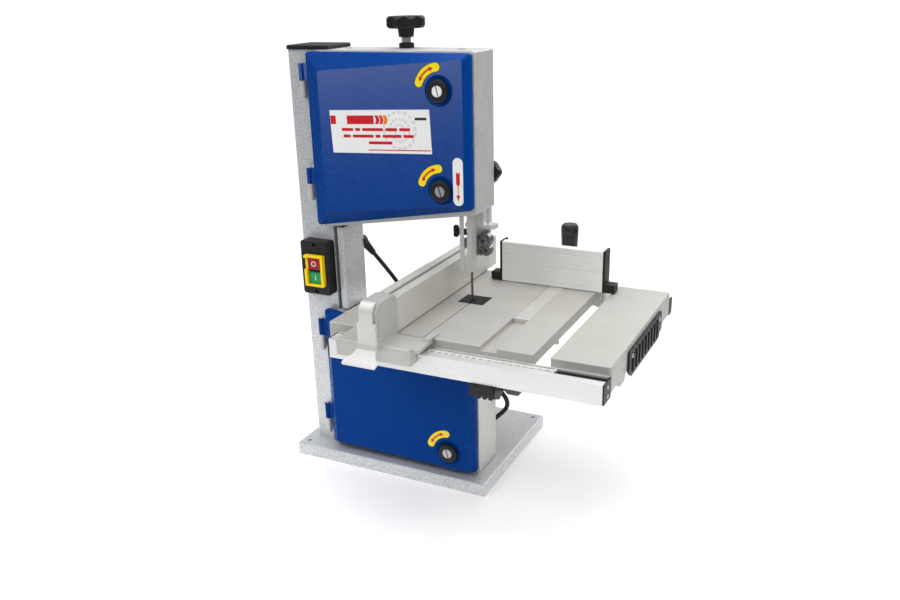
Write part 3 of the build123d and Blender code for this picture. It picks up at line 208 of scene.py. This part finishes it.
# ---------------------------------------------------------------- one function for each finish
def hammered():
    """Silver hammertone: small dimpled cells with darker speckles."""
    look = Finish("hammered_silver", (0.68, 0.695, 0.71), metallic=0.4, roughness=0.36, edge_mm=1.0)
    dimples = look.cells(2.6, "SMOOTH_F1")
    look.patches((0.3, 0.315, 0.34), size_mm=2.2, detail=2, between=(0.5, 0.62), amount=0.6)
    look.patches((0.78, 0.79, 0.8), size_mm=60, detail=3, between=(0.4, 0.7), amount=0.3)
    look.rough(look.noise(1.6, 2), 0.27, 0.46)
    return look.bump(dimples, 0.35, 0.5).worn_edges((0.85, 0.85, 0.86), 0.5).done()


def galvanised():
    """Zinc-coated sheet: large faint crystals over a fine speckle, in a warm grey."""
    look = Finish("galvanised_sheet", (0.66, 0.655, 0.63), metallic=0.35, roughness=0.42, edge_mm=0.9)
    crystals = look.cells(11, output="Color")
    grey = look.add("ShaderNodeRGBToBW")
    look.link(crystals, grey.inputs["Color"])
    look.tint(look.span(grey.outputs["Val"], 0.2, 0.8, 0.0, 0.22), (0.44, 0.45, 0.45))
    look.patches((0.4, 0.4, 0.39), size_mm=0.9, detail=2, between=(0.5, 0.7), amount=0.22)
    look.rough(look.noise(14, 4), 0.36, 0.52)
    return look.bump(look.noise(0.8, 2), 0.04, 0.4).worn_edges((0.75, 0.75, 0.73), 0.5).done()


def blue_paint():
    """Gloss powder coat with a slight orange peel."""
    look = Finish("blue_powder_coat", (0.0008, 0.043, 0.235), roughness=0.26, edge_mm=1.0)
    look.set("Specular IOR Level", 0.04)
    look.patches((0.003, 0.05, 0.26), size_mm=45, detail=3, between=(0.35, 0.75), amount=0.3)
    look.rough(look.noise(7, 4), 0.2, 0.3)
    look.bump(look.noise(5, 2), 0.03, 0.2)
    return look.worn_edges((0.1, 0.16, 0.46), 0.6).done()


def moulded(name, color, second, roughness=(0.38, 0.56), grain_mm=0.5, depth_mm=0.03, coat=0.0):
    """A moulded plastic with a fine spark-eroded grain and rubbed edges."""
    look = Finish(name, color, edge_mm=0.7)
    look.set("Coat Weight", coat)
    look.set("Specular IOR Level", 0.32)
    look.set("Coat Roughness", 0.12)
    look.patches(second, size_mm=12, detail=4, between=(0.35, 0.7), amount=0.6)
    look.rough(look.noise(3, 4), *roughness)
    look.bump(look.noise(grain_mm, 3), depth_mm, 0.5)
    lighter = [min(1.0, c * 1.5 + 0.035) for c in color]
    return look.worn_edges(lighter, 0.5).done()


def satin_casting(name, color, second, metallic=0.25, roughness=(0.4, 0.54)):
    """A lacquered aluminium casting: even and warm, with a faint grain and bright edges."""
    look = Finish(name, color, metallic=metallic, edge_mm=0.9)
    darker = [c * 0.7 for c in color]
    look.patches(second, size_mm=40, detail=4, between=(0.35, 0.7), amount=0.5)
    look.patches(darker, size_mm=0.8, detail=2, between=(0.52, 0.72), amount=0.2)
    look.rough(look.noise(7, 4), *roughness)
    look.bump(look.noise(0.7, 3), 0.02, 0.4)
    return look.worn_edges((0.86, 0.86, 0.84), 0.75).done()


def drawn_metal(name, color, along, roughness=(0.24, 0.4), metallic=0.75):
    """Bare or anodised metal with fine lines drawn along one axis."""
    look = Finish(name, color, metallic=metallic, edge_mm=0.5)
    lines = look.noise(0.35, 3, along)
    look.tint(look.span(lines, 0.4, 0.7, 0.0, 0.35), [c * 0.72 for c in color])
    look.patches([c * 0.82 for c in color], size_mm=22, detail=3, between=(0.45, 0.75), amount=0.2)
    look.rough(lines, *roughness)
    look.bump(lines, 0.012, 0.5)
    return look.worn_edges([min(1.0, c * 1.2) for c in color], 0.4).done()


def rubber(name, color):
    """Matt rubber or cable sheath, with paler scuffed patches."""
    look = Finish(name, color, roughness=0.6, edge_mm=0.5)
    scuffed = [c * 2.2 + 0.01 for c in color]
    look.patches(scuffed, size_mm=6, detail=5, between=(0.45, 0.75), amount=0.5)
    look.rough(look.noise(2.5, 4), 0.48, 0.72)
    return look.bump(look.noise(0.4, 3), 0.03, 0.5).done()


def printed(name, color, roughness=(0.24, 0.36), specular=0.5):
    """A printed film: nearly even, with a slight unevenness of ink and gloss."""
    look = Finish(name, color, edge_mm=0.15)
    look.set("Specular IOR Level", specular)
    look.patches([c * 0.82 for c in color], size_mm=4, detail=4, between=(0.45, 0.8), amount=0.12)
    look.rough(look.noise(6, 3), *roughness)
    return look.bump(look.noise(1.5, 2), 0.004, 0.4).done()


def floor_finish():
    """The studio's pale floor, lit a little from within so that it stays near white."""
    look = Finish("pale_floor", (0.93, 0.93, 0.93), roughness=0.55, edge_mm=0.1)
    look.patches((0.9, 0.9, 0.9), size_mm=600, detail=2, between=(0.4, 0.7), amount=0.3)
    look.set("Emission Color", (1, 1, 1, 1))
    look.set("Emission Strength", 0.16)
    return look.done()


BLACK = (0.011, 0.011, 0.012)
BLACK_WORN = (0.019, 0.019, 0.02)
ALONG_X = (60, 1, 1)                       # how far drawn lines stretch along each axis
ALONG_Z = (1, 1, 60)
ROUND_Y = (1, 20, 1)
SLOTS = {                                  # the record's material slots
    "hammered": hammered(),
    "galvanised": galvanised(),
    "blue": blue_paint(),
    "black": moulded("black_plastic", BLACK, BLACK_WORN),
    "black_gloss": moulded("polished_black_grip", (0.008, 0.008, 0.009), (0.014, 0.014, 0.015),
                           roughness=(0.12, 0.24), depth_mm=0.008, coat=0.6),
    "yellow": moulded("yellow_plastic", (1.0, 0.72, 0.012), (0.95, 0.62, 0.01),
                      roughness=(0.28, 0.42)),
    "red": moulded("red_button", (0.36, 0.012, 0.03), (0.28, 0.01, 0.025),
                   roughness=(0.26, 0.4)),
    "green": moulded("green_button", (0.02, 0.33, 0.12), (0.015, 0.26, 0.1),
                     roughness=(0.26, 0.4)),
    "steel": drawn_metal("turned_steel", (0.56, 0.56, 0.56), ROUND_Y),
    "blade_steel": drawn_metal("ground_blade_steel", (0.1, 0.1, 0.11), ALONG_Z,
                               roughness=(0.32, 0.5)),
    "cast_alu": satin_casting("die_cast_aluminium", (0.7, 0.7, 0.68), (0.78, 0.78, 0.76),
                              metallic=0.4, roughness=(0.34, 0.5)),
    "table": satin_casting("table_casting", (0.47, 0.46, 0.425), (0.52, 0.51, 0.475)),
    "extrusion": drawn_metal("anodised_extrusion", (0.86, 0.86, 0.85), ALONG_X,
                             roughness=(0.3, 0.46), metallic=0.6),
    "tyre": rubber("wheel_rubber", (0.03, 0.03, 0.03)),
    "motor": moulded("motor_enamel", (0.022, 0.022, 0.024), (0.035, 0.035, 0.037),
                     roughness=(0.3, 0.48), grain_mm=1.2, depth_mm=0.06),
    "cord": rubber("cable_sheath", (0.012, 0.012, 0.012)),
}
OWN_FINISH = {                             # nodes that look unlike the rest of their slot
    "fence_profile": satin_casting("fence_extrusion", (0.66, 0.65, 0.6), (0.71, 0.7, 0.65),
                                   metallic=0.3, roughness=(0.34, 0.48)),
    "fence_head": satin_casting("fence_head_casting", (0.54, 0.535, 0.5), (0.6, 0.59, 0.56),
                                metallic=0.35, roughness=(0.36, 0.5)),
    "fence_lever": satin_casting("lever_casting", (0.74, 0.74, 0.72), (0.78, 0.78, 0.76),
                                 metallic=0.35, roughness=(0.28, 0.4)),
    "scale_strip": printed("scale_tape", (0.62, 0.62, 0.6), roughness=(0.5, 0.7), specular=0.2),
    "mitre_fence": drawn_metal("mitre_face_extrusion", (0.95, 0.95, 0.93), ALONG_X,
                               roughness=(0.38, 0.52), metallic=0.1),
    "guide_rollers": drawn_metal("bearing_steel", (0.25, 0.25, 0.25), ROUND_Y,
                                 roughness=(0.2, 0.34)),
    "table_insert": moulded("insert_plastic", (0.004, 0.004, 0.004), (0.008, 0.008, 0.008),
                            roughness=(0.5, 0.65)),
    "lower_tyre": rubber("lower_wheel_rubber", (0.035, 0.034, 0.033)),
    "mitre_bar": satin_casting("mitre_bar_zinc", (0.62, 0.61, 0.57), (0.68, 0.67, 0.63),
                               metallic=0.4, roughness=(0.3, 0.42)),
}
WHITE_FILM = printed("white_film", (0.88, 0.88, 0.87))
RED_INK = printed("red_ink", (0.62, 0.008, 0.02))
ORANGE_RED_INK = printed("orange_red_ink", (0.75, 0.05, 0.012))
ORANGE_INK = printed("orange_ink", (0.85, 0.2, 0.015))
GREY_INK = printed("grey_ink", (0.68, 0.69, 0.7))
BLACK_INK = printed("black_ink", (0.025, 0.025, 0.028))
YELLOW_FILM = printed("yellow_film", (0.95, 0.76, 0.01))
SCALE_INK = printed("scale_ink", (0.008, 0.008, 0.008), roughness=(0.7, 0.9), specular=0.08)



def finish_nodes():
    """Gives every CAD node the finish of its slot, or its own."""
    node_slot = {part["node"]: part["material_slot"] for part in RECORD["subparts"]}
    for node, shape in frame["nodes"].items():
        shape.data.materials.clear()
        shape.data.materials.append(OWN_FINISH.get(node, SLOTS[node_slot[node]]))


# ---------------------------------------------------------------- mesh helpers
SHARP = radians(32)                        # smooth shading stops at edges sharper than this


def mesh_object(name, shape, materials):
    """Turns a bmesh into a named object in the scene."""
    data = bpy.data.meshes.new(name)
    bmesh.ops.recalc_face_normals(shape, faces=shape.faces)
    shape.to_mesh(data)
    shape.free()
    for material in materials:
        data.materials.append(material)
    thing = bpy.data.objects.new(name, data)
    SCENE.collection.objects.link(thing)
    return thing


def piece(name, body, shape, materials, smooth=True):
    """Turns a bmesh into a piece of the saw that rides on a body."""
    thing = mesh_object(name, shape, materials)
    if smooth:
        thing.data.shade_smooth()
        thing.data.set_sharp_from_angle(angle=SHARP)
    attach(thing, body)


def arc(radius, start, end, steps=20, centre=(0, 0)):
    """Points along an arc, angles in degrees."""
    points = []
    for index in range(steps + 1):
        angle = radians(start + (end - start) * index / steps)
        points.append((centre[0] + radius * cos(angle), centre[1] + radius * sin(angle)))
    return points


def circle(radius, steps):
    """Points round a whole circle, each once."""
    return arc(radius, 0, 360 * (steps - 1) / steps, steps - 1)


def rounded_bar(length, height, radius, centre=(0, 0), steps=6):
    """The outline of a bar with rounded corners."""
    points = []
    for side_x, side_y, start in ((1, 1, 0), (-1, 1, 90), (-1, -1, 180), (1, -1, 270)):
        corner = (centre[0] + side_x * (length / 2 - radius), centre[1] + side_y * (height / 2 - radius))
        points += arc(radius, start, start + 90, steps, corner)
    return points


def ring(shape, outline, place, height):
    """Adds an outline's points at a height above a place, all in millimetres."""
    return [shape.verts.new(place @ (Vector((x, y, height)) * MM)) for x, y in outline]


def wall(shape, lower, upper):
    """Joins two rings with faces. A ring of one point makes a tip."""
    steps = max(len(lower), len(upper))
    faces = []
    for index in range(steps):
        after = (index + 1) % steps
        corners = [lower[index % len(lower)], lower[after % len(lower)],
                   upper[after % len(upper)], upper[index % len(upper)]]
        faces.append(shape.faces.new(list(dict.fromkeys(corners))))
    return faces


def prism(shape, outline, place, depth_mm, material=0):
    """Adds a closed flat body: an outline in millimetres, raised out of the surface."""
    bottom = ring(shape, outline, place, 0)
    top = ring(shape, outline, place, depth_mm)
    faces = [shape.faces.new(bottom), shape.faces.new(top)]
    faces += wall(shape, bottom, top)
    for face in faces:
        face.material_index = material


def turned(shape, profile, place, steps=32):
    """Adds a closed turned body from an (r, h) profile that starts and ends on its axis."""
    rows = []
    for radius, height in profile:
        outline = circle(radius, steps) if radius else [(0, 0)]
        rows.append(ring(shape, outline, place, height))
    for lower, upper in zip(rows[:-1], rows[1:]):
        wall(shape, lower, upper)


# ---------------------------------------------------------------- screws
def cross_outline(arm, half):
    """A cross: how far its arms reach, and half their width."""
    return [(arm, -half), (arm, half), (half, half), (half, arm), (-half, arm), (-half, half),
            (-arm, half), (-arm, -half), (-half, -half), (-half, -arm), (half, -arm), (half, -half)]


def closed_edges(shape, points):
    """The edges between each point of a ring and the next."""
    return [shape.edges.get((points[i], points[(i + 1) % len(points)])) for i in range(len(points))]


def screw_head(shape, place, radius, height=None, steps=24):
    """A pan head with a cross recess whose floor and walls are real faces."""
    height = height or radius * 0.55
    cross = cross_outline(radius * 0.55, radius * 0.13)
    dome = [(radius, 0), (radius, height * 0.35), (radius * 0.86, height * 0.8), (radius * 0.66, height)]
    rows = [ring(shape, circle(r, steps), place, h) for r, h in dome]
    shape.faces.new(rows[0])
    for lower, upper in zip(rows[:-1], rows[1:]):
        wall(shape, lower, upper)
    rim = ring(shape, cross, place, height)
    pit = ring(shape, cross, place, height * 0.3)
    wall(shape, rim, pit)
    shape.faces.new(pit)
    top = closed_edges(shape, rows[-1]) + closed_edges(shape, rim)
    bmesh.ops.triangle_fill(shape, use_beauty=True, use_dissolve=False, edges=top)


def screws(name, body, places, radius, height=None):
    """Adds equal screws at several places as one steel piece."""
    shape = bmesh.new()
    for place in places:
        screw_head(shape, place, radius, height)
    piece(name, body, shape, [SLOTS["steel"]])


# ---------------------------------------------------------------- door labels
FILM = 0.25                                # a label's thickness, in millimetres
PRINT_SUNK = 0.02                          # how deep print starts below the film's face
INK = 0.08                                 # height of print from there


def print_place(place):
    """Where print on a label starts, just inside the film."""
    return place @ Matrix.Translation((0, 0, (FILM - PRINT_SUNK) * MM))


def band(radius, width, start, end):
    """An open curved band with flat ends."""
    return arc(radius + width / 2, start, end, 28) + arc(radius - width / 2, end, start, 28)


def printed_ring(shape, place, material):
    """A plain ring pattern: two broken rings round a small one."""
    height = INK * 0.6
    pitch, dash = 20, 12
    for radius in (25, 15.5):
        for index in range(360 // pitch):
            turn = pitch * index
            prism(shape, band(radius, 3.4, turn, turn + dash), place, height, material)
    prism(shape, band(8, 2, 0, 350), place, height, material)


def main_label():
    """The white label in the middle of the upper door, with plain bars where text would be."""
    white, grey, red, orange_red, orange, black = range(6)
    inks = [WHITE_FILM, GREY_INK, RED_INK, ORANGE_RED_INK, ORANGE_INK, BLACK_INK]
    centre = middle("upper_door")
    place = leaning(Vector((centre.x + 3.25 * MM, DOOR_FACE, centre.z + 21 * MM)), 2.4)
    width, height = 160, 60
    shape = bmesh.new()
    prism(shape, rounded_bar(width, height, 1), place, FILM, white)
    print_on = print_place(place)

    def bar(length, thick, radius, spot, colour=red):
        prism(shape, rounded_bar(length, thick, radius, spot), print_on, INK, colour)

    printed_ring(shape, print_on @ Matrix.Translation((32 * MM, 2 * MM, 0)), grey)
    title_y, title_height = 16.5, 12
    bar(9, title_height, 0.3, (-75, title_y))
    bar(44, title_height, 0.3, (-30, title_y))
    for index, colour in enumerate((red, orange_red, orange)):
        x = -6.5 + index * 6.6
        chevron = [(x, title_y + 6), (x + 5.4, title_y + 6), (x + 8, title_y),
                   (x + 5.4, title_y - 6), (x, title_y - 6), (x + 2.6, title_y)]
        prism(shape, chevron, print_on, INK, colour)
    bar(18, 3.6, 1.2, (66, title_y + 1), black)
    word_height, word_gap = 4.2, 3.4
    rows = ((3, -62, (19, 8, 34, 19, 17)), (-6.2, -60, (12, 34, 8, 30, 16)), (-15.4, -19, (38,)))
    for y, x, words in rows:
        for word in words:
            bar(word, word_height, 0.9, (x + word / 2, y))
            x += word + word_gap
    bar(99, 1.5, 0.4, (29, -25.5))
    piece("door_label", "upper_door", shape, inks, smooth=False)


def lock_label(lock):
    """The curved yellow label round a lock: a turning arrow that points both ways."""
    yellow, black, red = range(3)
    axis = joint_place(LOCK_JOINTS[lock])
    door = LOCK_DOOR[lock]
    place = facing(Vector((axis.x, low(door).y, axis.z)), RIGHT, UP)
    radius, half = 31, 5.75
    start, end = 96, 161
    outline_mm, outline_sunk = 0.7, 0.06
    shape = bmesh.new()
    for extra, height, colour in ((outline_mm, FILM - outline_sunk, black), (0, FILM, yellow)):
        reach = half + extra
        head = arc(reach, end, end + 180, 12, (radius * cos(radians(end)), radius * sin(radians(end))))
        tail = arc(reach, start + 180, start + 360, 12,
                   (radius * cos(radians(start)), radius * sin(radians(start))))
        outline = arc(radius + reach, start, end, 20) + head[1:]
        outline += arc(radius - reach, end, start, 20)[1:] + tail[1:-1]
        prism(shape, outline, place, height, colour)
    print_on = print_place(place)
    prism(shape, band(radius, 2.4, 114, 148), print_on, INK, red)
    barb = 3.4
    for base, tip in ((115, 104), (147, 158)):
        arrow = [arc(reach, angle, angle, 1)[0] for reach, angle in
                 ((radius - barb, base), (radius + barb, base), (radius, tip))]
        prism(shape, arrow, print_on, INK * 1.2, red)
    piece(f"{lock}_label", door, shape, [YELLOW_FILM, BLACK_INK, RED_INK], smooth=False)


def arrow_label():
    """The upright pill-shaped label at the door's edge: the blade runs downwards."""
    white, red = range(2)
    right = high("upper_door").x
    pill_low, pill_length, pill_width = 446, 66, 15.3
    centre = Vector((right - 14.4 * MM, DOOR_FACE, (pill_low + pill_length / 2) * MM))
    place = facing(centre, RIGHT, UP)
    shape = bmesh.new()
    pill = rounded_bar(pill_width, pill_length, pill_width / 2 - 0.01, steps=12)
    prism(shape, pill, place, FILM, white)
    print_on = print_place(place)
    flight = [(-2.9, 14), (0, 11.5), (2.9, 14), (2.9, -3), (0, -6), (-2.9, -3)]
    shaft = [(-0.6, -5.5), (0.6, -5.5), (0.6, -20), (-0.6, -20)]
    tip = [(-3, -18.5), (3, -18.5), (0, -27)]
    for outline in (flight, shaft, tip):
        prism(shape, outline, print_on, INK, red)
    piece("blade_direction_label", "upper_door", shape, [WHITE_FILM, RED_INK], smooth=False)


def lock_face(lock, material):
    """The slotted disc in the middle of a lock: two half discs on a dark ground."""
    axis = joint_place(LOCK_JOINTS[lock])
    place = leaning(Vector((axis.x, low(lock).y + 1.2 * MM, axis.z)), 105)
    shape = bmesh.new()
    radius, gap = 7.5, 6
    for start in (gap, 180 + gap):
        prism(shape, arc(radius, start, start + 180 - 2 * gap, 24), place, 0.7)
    piece(f"{lock}_face", lock, shape, [material])


# ---------------------------------------------------------------- switch marks
def button_marks():
    """A ring on the stop button and a bar on the start button."""
    ring_halves = [band(3.6, 1.1, 0, 180), band(3.6, 1.1, 180, 360)]
    upright_bar = [rounded_bar(1.2, 8, 0.4)]
    for button, outlines in (("stop_button", ring_halves), ("start_button", upright_bar)):
        centre = middle(button)
        place = facing(Vector((centre.x, low(button).y, centre.z)), RIGHT, UP)
        shape = bmesh.new()
        for outline in outlines:
            prism(shape, outline, place, FILM)
        piece(f"{button}_mark", button, shape, [WHITE_FILM])


# ---------------------------------------------------------------- scale on the front rail
LINE_WIDTH = 0.55
FIRST_CENTIMETRE, LAST_CENTIMETRE = -12, 19


def line_length(millimetre):
    """Long lines at the centimetres, middling ones halfway, and short ones between."""
    if millimetre % 10 == 0:
        return 5.6
    return 4.2 if millimetre % 5 == 0 else 3.0


def scale_lines(zero, strip_low, strip_high):
    """One line to the millimetre, along the strip's back edge."""
    margin = 2
    half = LINE_WIDTH / 2
    lines = bmesh.new()
    first = round((strip_low.x - zero) / MM) + margin
    last = round((strip_high.x - zero) / MM) - margin
    for millimetre in range(first, last):
        length = line_length(millimetre)
        start = Vector((zero + millimetre * MM, strip_high.y - 0.6 * MM, strip_high.z - 0.01 * MM))
        outline = [(-half, -length), (half, -length), (half, 0), (-half, 0)]
        prism(lines, outline, facing(start, RIGHT, BACK), 0.06)
    piece("scale_lines", "extension", lines, [SCALE_INK], smooth=False)


def scale_numbers(zero, strip_low, strip_high):
    """The distance in millimetres at each centimetre line, along the strip's front edge."""
    digits = bmesh.new()
    for centimetre in range(FIRST_CENTIMETRE, LAST_CENTIMETRE + 1):
        text = bpy.data.curves.new("digit", "FONT")
        text.body = str(abs(centimetre) * 10)
        text.size = 6.2 * MM
        text.align_x = "CENTER"
        text.extrude = 0.03 * MM
        carrier = bpy.data.objects.new("digit", text)
        SCENE.collection.objects.link(carrier)
        bpy.context.view_layer.update()
        made = carrier.evaluated_get(bpy.context.evaluated_depsgraph_get()).to_mesh()
        spot = Vector((zero + centimetre * 10 * MM, strip_low.y + 1.5 * MM, strip_high.z + 0.02 * MM))
        made.transform(Matrix.Translation(spot))
        digits.from_mesh(made)
        bpy.data.objects.remove(carrier)
        bpy.data.curves.remove(text)
    piece("scale_numbers", "extension", digits, [SCALE_INK], smooth=False)


def scale_marks():
    """The scale of the front rail, counted from the blade."""
    blade_aside = 1.25 * MM                # from the middle of the insert
    zero = middle("table_insert").x - blade_aside
    scale_lines(zero, *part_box("scale_strip"))
    scale_numbers(zero, *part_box("scale_strip"))


# ---------------------------------------------------------------- small hardware
def tension_thread():
    """The steel thread that shows between the tension knob and its bush."""
    axis = joint_place("tension_knob_turn")
    bottom = high("tension_bush").z / MM + 0.4
    root, crest = 6.3, 7.0
    pitch, turns = 1.25, 6
    profile = [(0, bottom)]
    for index in range(turns):
        profile += [(root, bottom + index * pitch), (crest, bottom + (index + 0.5) * pitch)]
    profile += [(root, bottom + turns * pitch), (0, bottom + turns * pitch)]
    shape = bmesh.new()
    turned(shape, profile, Matrix.Translation((axis.x, axis.y, 0)))
    piece("tension_thread", "tension_knob", shape, [SLOTS["steel"]])


def housing_top_screws():
    """Two screws on the roof of the upper housing."""
    housing_low, housing_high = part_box("upper_housing")
    y = middle("upper_housing").y
    spots = [Vector((x, y, housing_high.z)) for x in (housing_low.x + 30 * MM, housing_high.x - 31 * MM)]
    screws("housing_top_screws", "frame", [facing(spot, RIGHT, BACK) for spot in spots], 4.2)


def switch_screws():
    """Two screws in the switch box's face, above and below the buttons."""
    centre = middle("switch_box")
    face = low("switch_box").y + 6 * MM
    spots = [Vector((centre.x, face, centre.z + side * 37 * MM)) for side in (-1, 1)]
    screws("switch_screws", "frame", [facing(spot, RIGHT, UP) for spot in spots], 2.7)


def grip_screws():
    """Two screws in the pull grip's plate, near its ends."""
    centre = middle("extension_grip")
    plate = low("extension_grip").x + 3.2 * MM
    spots = [Vector((plate, centre.y + side * 72 * MM, centre.z + 10 * MM)) for side in (-1, 1)]
    screws("grip_screws", "extension", [facing(spot, BACK, UP) for spot in spots], 3)


def rail_cap_screws():
    """Two screws in the front rail's right end cap."""
    face = high("rail_end_caps").x
    y = low("rail_end_caps").y + 14 * MM
    z = middle("rail_end_caps").z
    spots = [Vector((face, y, z + side * 6 * MM)) for side in (-1, 1)]
    screws("rail_cap_screws", "extension", [facing(spot, BACK, UP) for spot in spots], 2.6)


def fence_top_screws():
    """Two countersunk screws at each end of the fence's top."""
    fence_low, fence_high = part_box("fence_profile")
    x = middle("fence_profile").x
    spots = [Vector((x + side * 11 * MM, y, fence_high.z))
             for y in (fence_low.y + 12 * MM, fence_high.y - 12 * MM) for side in (-1, 1)]
    screws("fence_top_screws", "fence", [facing(spot, RIGHT, BACK) for spot in spots], 2.2, 0.5)


def groove_shade_strip():
    """A black strip of painted shade that fills the front rail's groove, where the groove is only in shadow, from
    the scale's end to the end cap.
    """
    strip_low, strip_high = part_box("scale_strip")
    start = strip_high.x + 0.5 * MM
    end = high("extension_rails").x - 0.3 * MM
    length = (end - start) / MM
    width = (strip_high.y - strip_low.y) / MM - 0.4
    centre = Vector(((start + end) / 2, (strip_low.y + strip_high.y) / 2, strip_low.z + 0.05 * MM))
    place = facing(centre, RIGHT, BACK)
    thick, rib_sunk = 5, 0.1
    shape = bmesh.new()
    # painted shade: the black strip stands in for the shadow inside the empty groove
    prism(shape, rounded_bar(length, width, 0.4), place, thick)
    for side in (-1, 1):
        rib = place @ Matrix.Translation((0, side * width * 0.3 * MM, (thick - rib_sunk) * MM))
        prism(shape, rounded_bar(length, 2, 0.9), rib, 1.2)
    piece("rail_groove_painted_shade", "extension", shape, [SLOTS["black"]])


def build_pieces():
    """Every piece that Blender adds to the CAD nodes."""
    main_label()
    arrow_label()
    for lock in LOCK_JOINTS:
        lock_label(lock)
        lock_face(lock, WHITE_FILM if lock == "top_lock" else SLOTS["steel"])
    button_marks()
    scale_marks()
    tension_thread()
    housing_top_screws()
    switch_screws()
    grip_screws()
    rail_cap_screws()
    fence_top_screws()
    groove_shade_strip()


# ---------------------------------------------------------------- camera, floor and light
def camera():
    """The photograph's angle: a 36 mm lens, above the front right, looking down and left."""
    place = (0.65924, -1.20284, 0.73634)
    azimuth, elevation, roll = radians(26.65), radians(20.01), radians(1.47)
    look = Vector((-sin(azimuth) * cos(elevation), cos(azimuth) * cos(elevation), -sin(elevation)))
    flat = Vector((cos(azimuth), sin(azimuth), 0))
    rise = flat.cross(look)
    x_axis = flat * cos(roll) - rise * sin(roll)
    y_axis = flat * sin(roll) + rise * cos(roll)
    data = bpy.data.cameras.new("camera")
    data.lens = 35.92
    data.sensor_width = 36
    data.shift_x = 0.0005
    data.shift_y = 0.009
    thing = bpy.data.objects.new("camera", data)
    turn = Matrix((x_axis, y_axis, -look)).transposed().to_4x4()
    thing.matrix_world = Matrix.Translation(place) @ turn
    SCENE.collection.objects.link(thing)
    SCENE.camera = thing


def area_light(name, place, target, width, height, power):
    """A soft box that points at a target. Sizes are in metres and power in watts."""
    data = bpy.data.lights.new(name, "AREA")
    data.shape = "RECTANGLE"
    data.size = width
    data.size_y = height
    data.energy = power
    thing = bpy.data.objects.new(name, data)
    thing.location = place
    aim = Vector(target) - Vector(place)
    thing.rotation_euler = aim.to_track_quat("-Z", "Y").to_euler()
    SCENE.collection.objects.link(thing)
    return thing


def fade(material, distance, soft):
    """Lets a stage surface vanish towards its edge; the pale surround takes over there."""
    tree = material.node_tree
    output = tree.nodes["Material Output"]
    surface = output.inputs["Surface"].links[0].from_socket
    place = tree.nodes.new("ShaderNodeTexCoord")
    length = tree.nodes.new("ShaderNodeVectorMath")
    length.operation = "LENGTH"
    share = tree.nodes.new("ShaderNodeMapRange")
    share.interpolation_type = "SMOOTHSTEP"
    share.inputs["From Min"].default_value = distance
    share.inputs["From Max"].default_value = distance + soft
    clear = tree.nodes.new("ShaderNodeBsdfTransparent")
    mix = tree.nodes.new("ShaderNodeMixShader")
    tree.links.new(place.outputs["Object"], length.inputs[0])
    tree.links.new(length.outputs["Value"], share.inputs["Value"])
    tree.links.new(share.outputs["Result"], mix.inputs["Fac"])
    tree.links.new(surface, mix.inputs[1])
    tree.links.new(clear.outputs["BSDF"], mix.inputs[2])
    tree.links.new(mix.outputs["Shader"], output.inputs["Surface"])


def floor():
    """A thin pale sheet under the saw that fades into the surround."""
    size_mm, corner_mm, thick_mm = 6000, 5, 0.5
    pale = floor_finish()
    fade(pale, distance=0.55, soft=0.9)
    shape = bmesh.new()
    prism(shape, rounded_bar(size_mm, size_mm, corner_mm), Matrix.Identity(4), thick_mm)
    sheet = mesh_object("floor", shape, [pale])
    sheet.location = (0.1, 0, -0.6 * MM)


def surround():
    """A pale surround: plain white to the camera, brighter overhead for the saw's own light."""
    world = bpy.data.worlds.new("surround")
    world.use_nodes = True
    tree = world.node_tree
    background = tree.nodes["Background"]
    background.inputs["Strength"].default_value = 0.7
    place = tree.nodes.new("ShaderNodeTexCoord")
    split = tree.nodes.new("ShaderNodeSeparateXYZ")
    ramp = tree.nodes.new("ShaderNodeValToRGB")
    below, above = ramp.color_ramp.elements
    below.color = (0.35, 0.355, 0.37, 1)
    below.position = 0.0
    above.color = (1, 1, 1, 1)
    above.position = 0.75
    path = tree.nodes.new("ShaderNodeLightPath")
    seen = tree.nodes.new("ShaderNodeMix")
    seen.data_type = "RGBA"
    seen.inputs[MIX_B].default_value = (1.6, 1.6, 1.6, 1)
    tree.links.new(place.outputs["Generated"], split.inputs["Vector"])
    tree.links.new(split.outputs["Z"], ramp.inputs["Fac"])
    tree.links.new(path.outputs["Is Camera Ray"], seen.inputs["Factor"])
    tree.links.new(ramp.outputs["Color"], seen.inputs[MIX_A])
    tree.links.new(seen.outputs[MIX_COLOR], background.inputs["Color"])
    SCENE.world = world


def door_sheen():
    """A far, low soft box that only the upper door mirrors: it lightens the door's top."""
    sheen = area_light("door_sheen", (-2.4, -4.9, 0.95), (-0.1, -0.1, 0.6), 7.0, 1.7, 1300)
    sheen.visible_diffuse = False
    sheen.visible_camera = False
    receivers = bpy.data.collections.new("mirrors_the_door_sheen")
    receivers.objects.link(frame["nodes"]["upper_door"])
    sheen.light_linking.receiver_collection = receivers


def soft_boxes():
    """The studio's four lights. Only two of them are mirrored in the saw."""
    aim = (0.1, -0.05, 0.32)
    mirrored = ("top", "rim")
    lights = (                             # name, place, width, height and power
        ("key", (-1.3, -1.7, 2.4), 1.6, 1.6, 35),
        ("fill", (2.3, -1.0, 1.4), 1.4, 1.8, 14),
        ("top", (0.1, 0.2, 2.6), 2.2, 2.0, 32),
        ("rim", (0.6, 2.2, 1.5), 1.6, 1.2, 14),
    )
    for name, place, width, height, power in lights:
        box = area_light(name, place, aim, width, height, power)
        box.visible_glossy = name in mirrored


def studio():
    """A pale floor that fades into the surround, and soft boxes."""
    floor()
    door_sheen()
    surround()
    soft_boxes()
    SCENE.view_settings.view_transform = "Standard"


finish_nodes()
build_pieces()
studio()
camera()
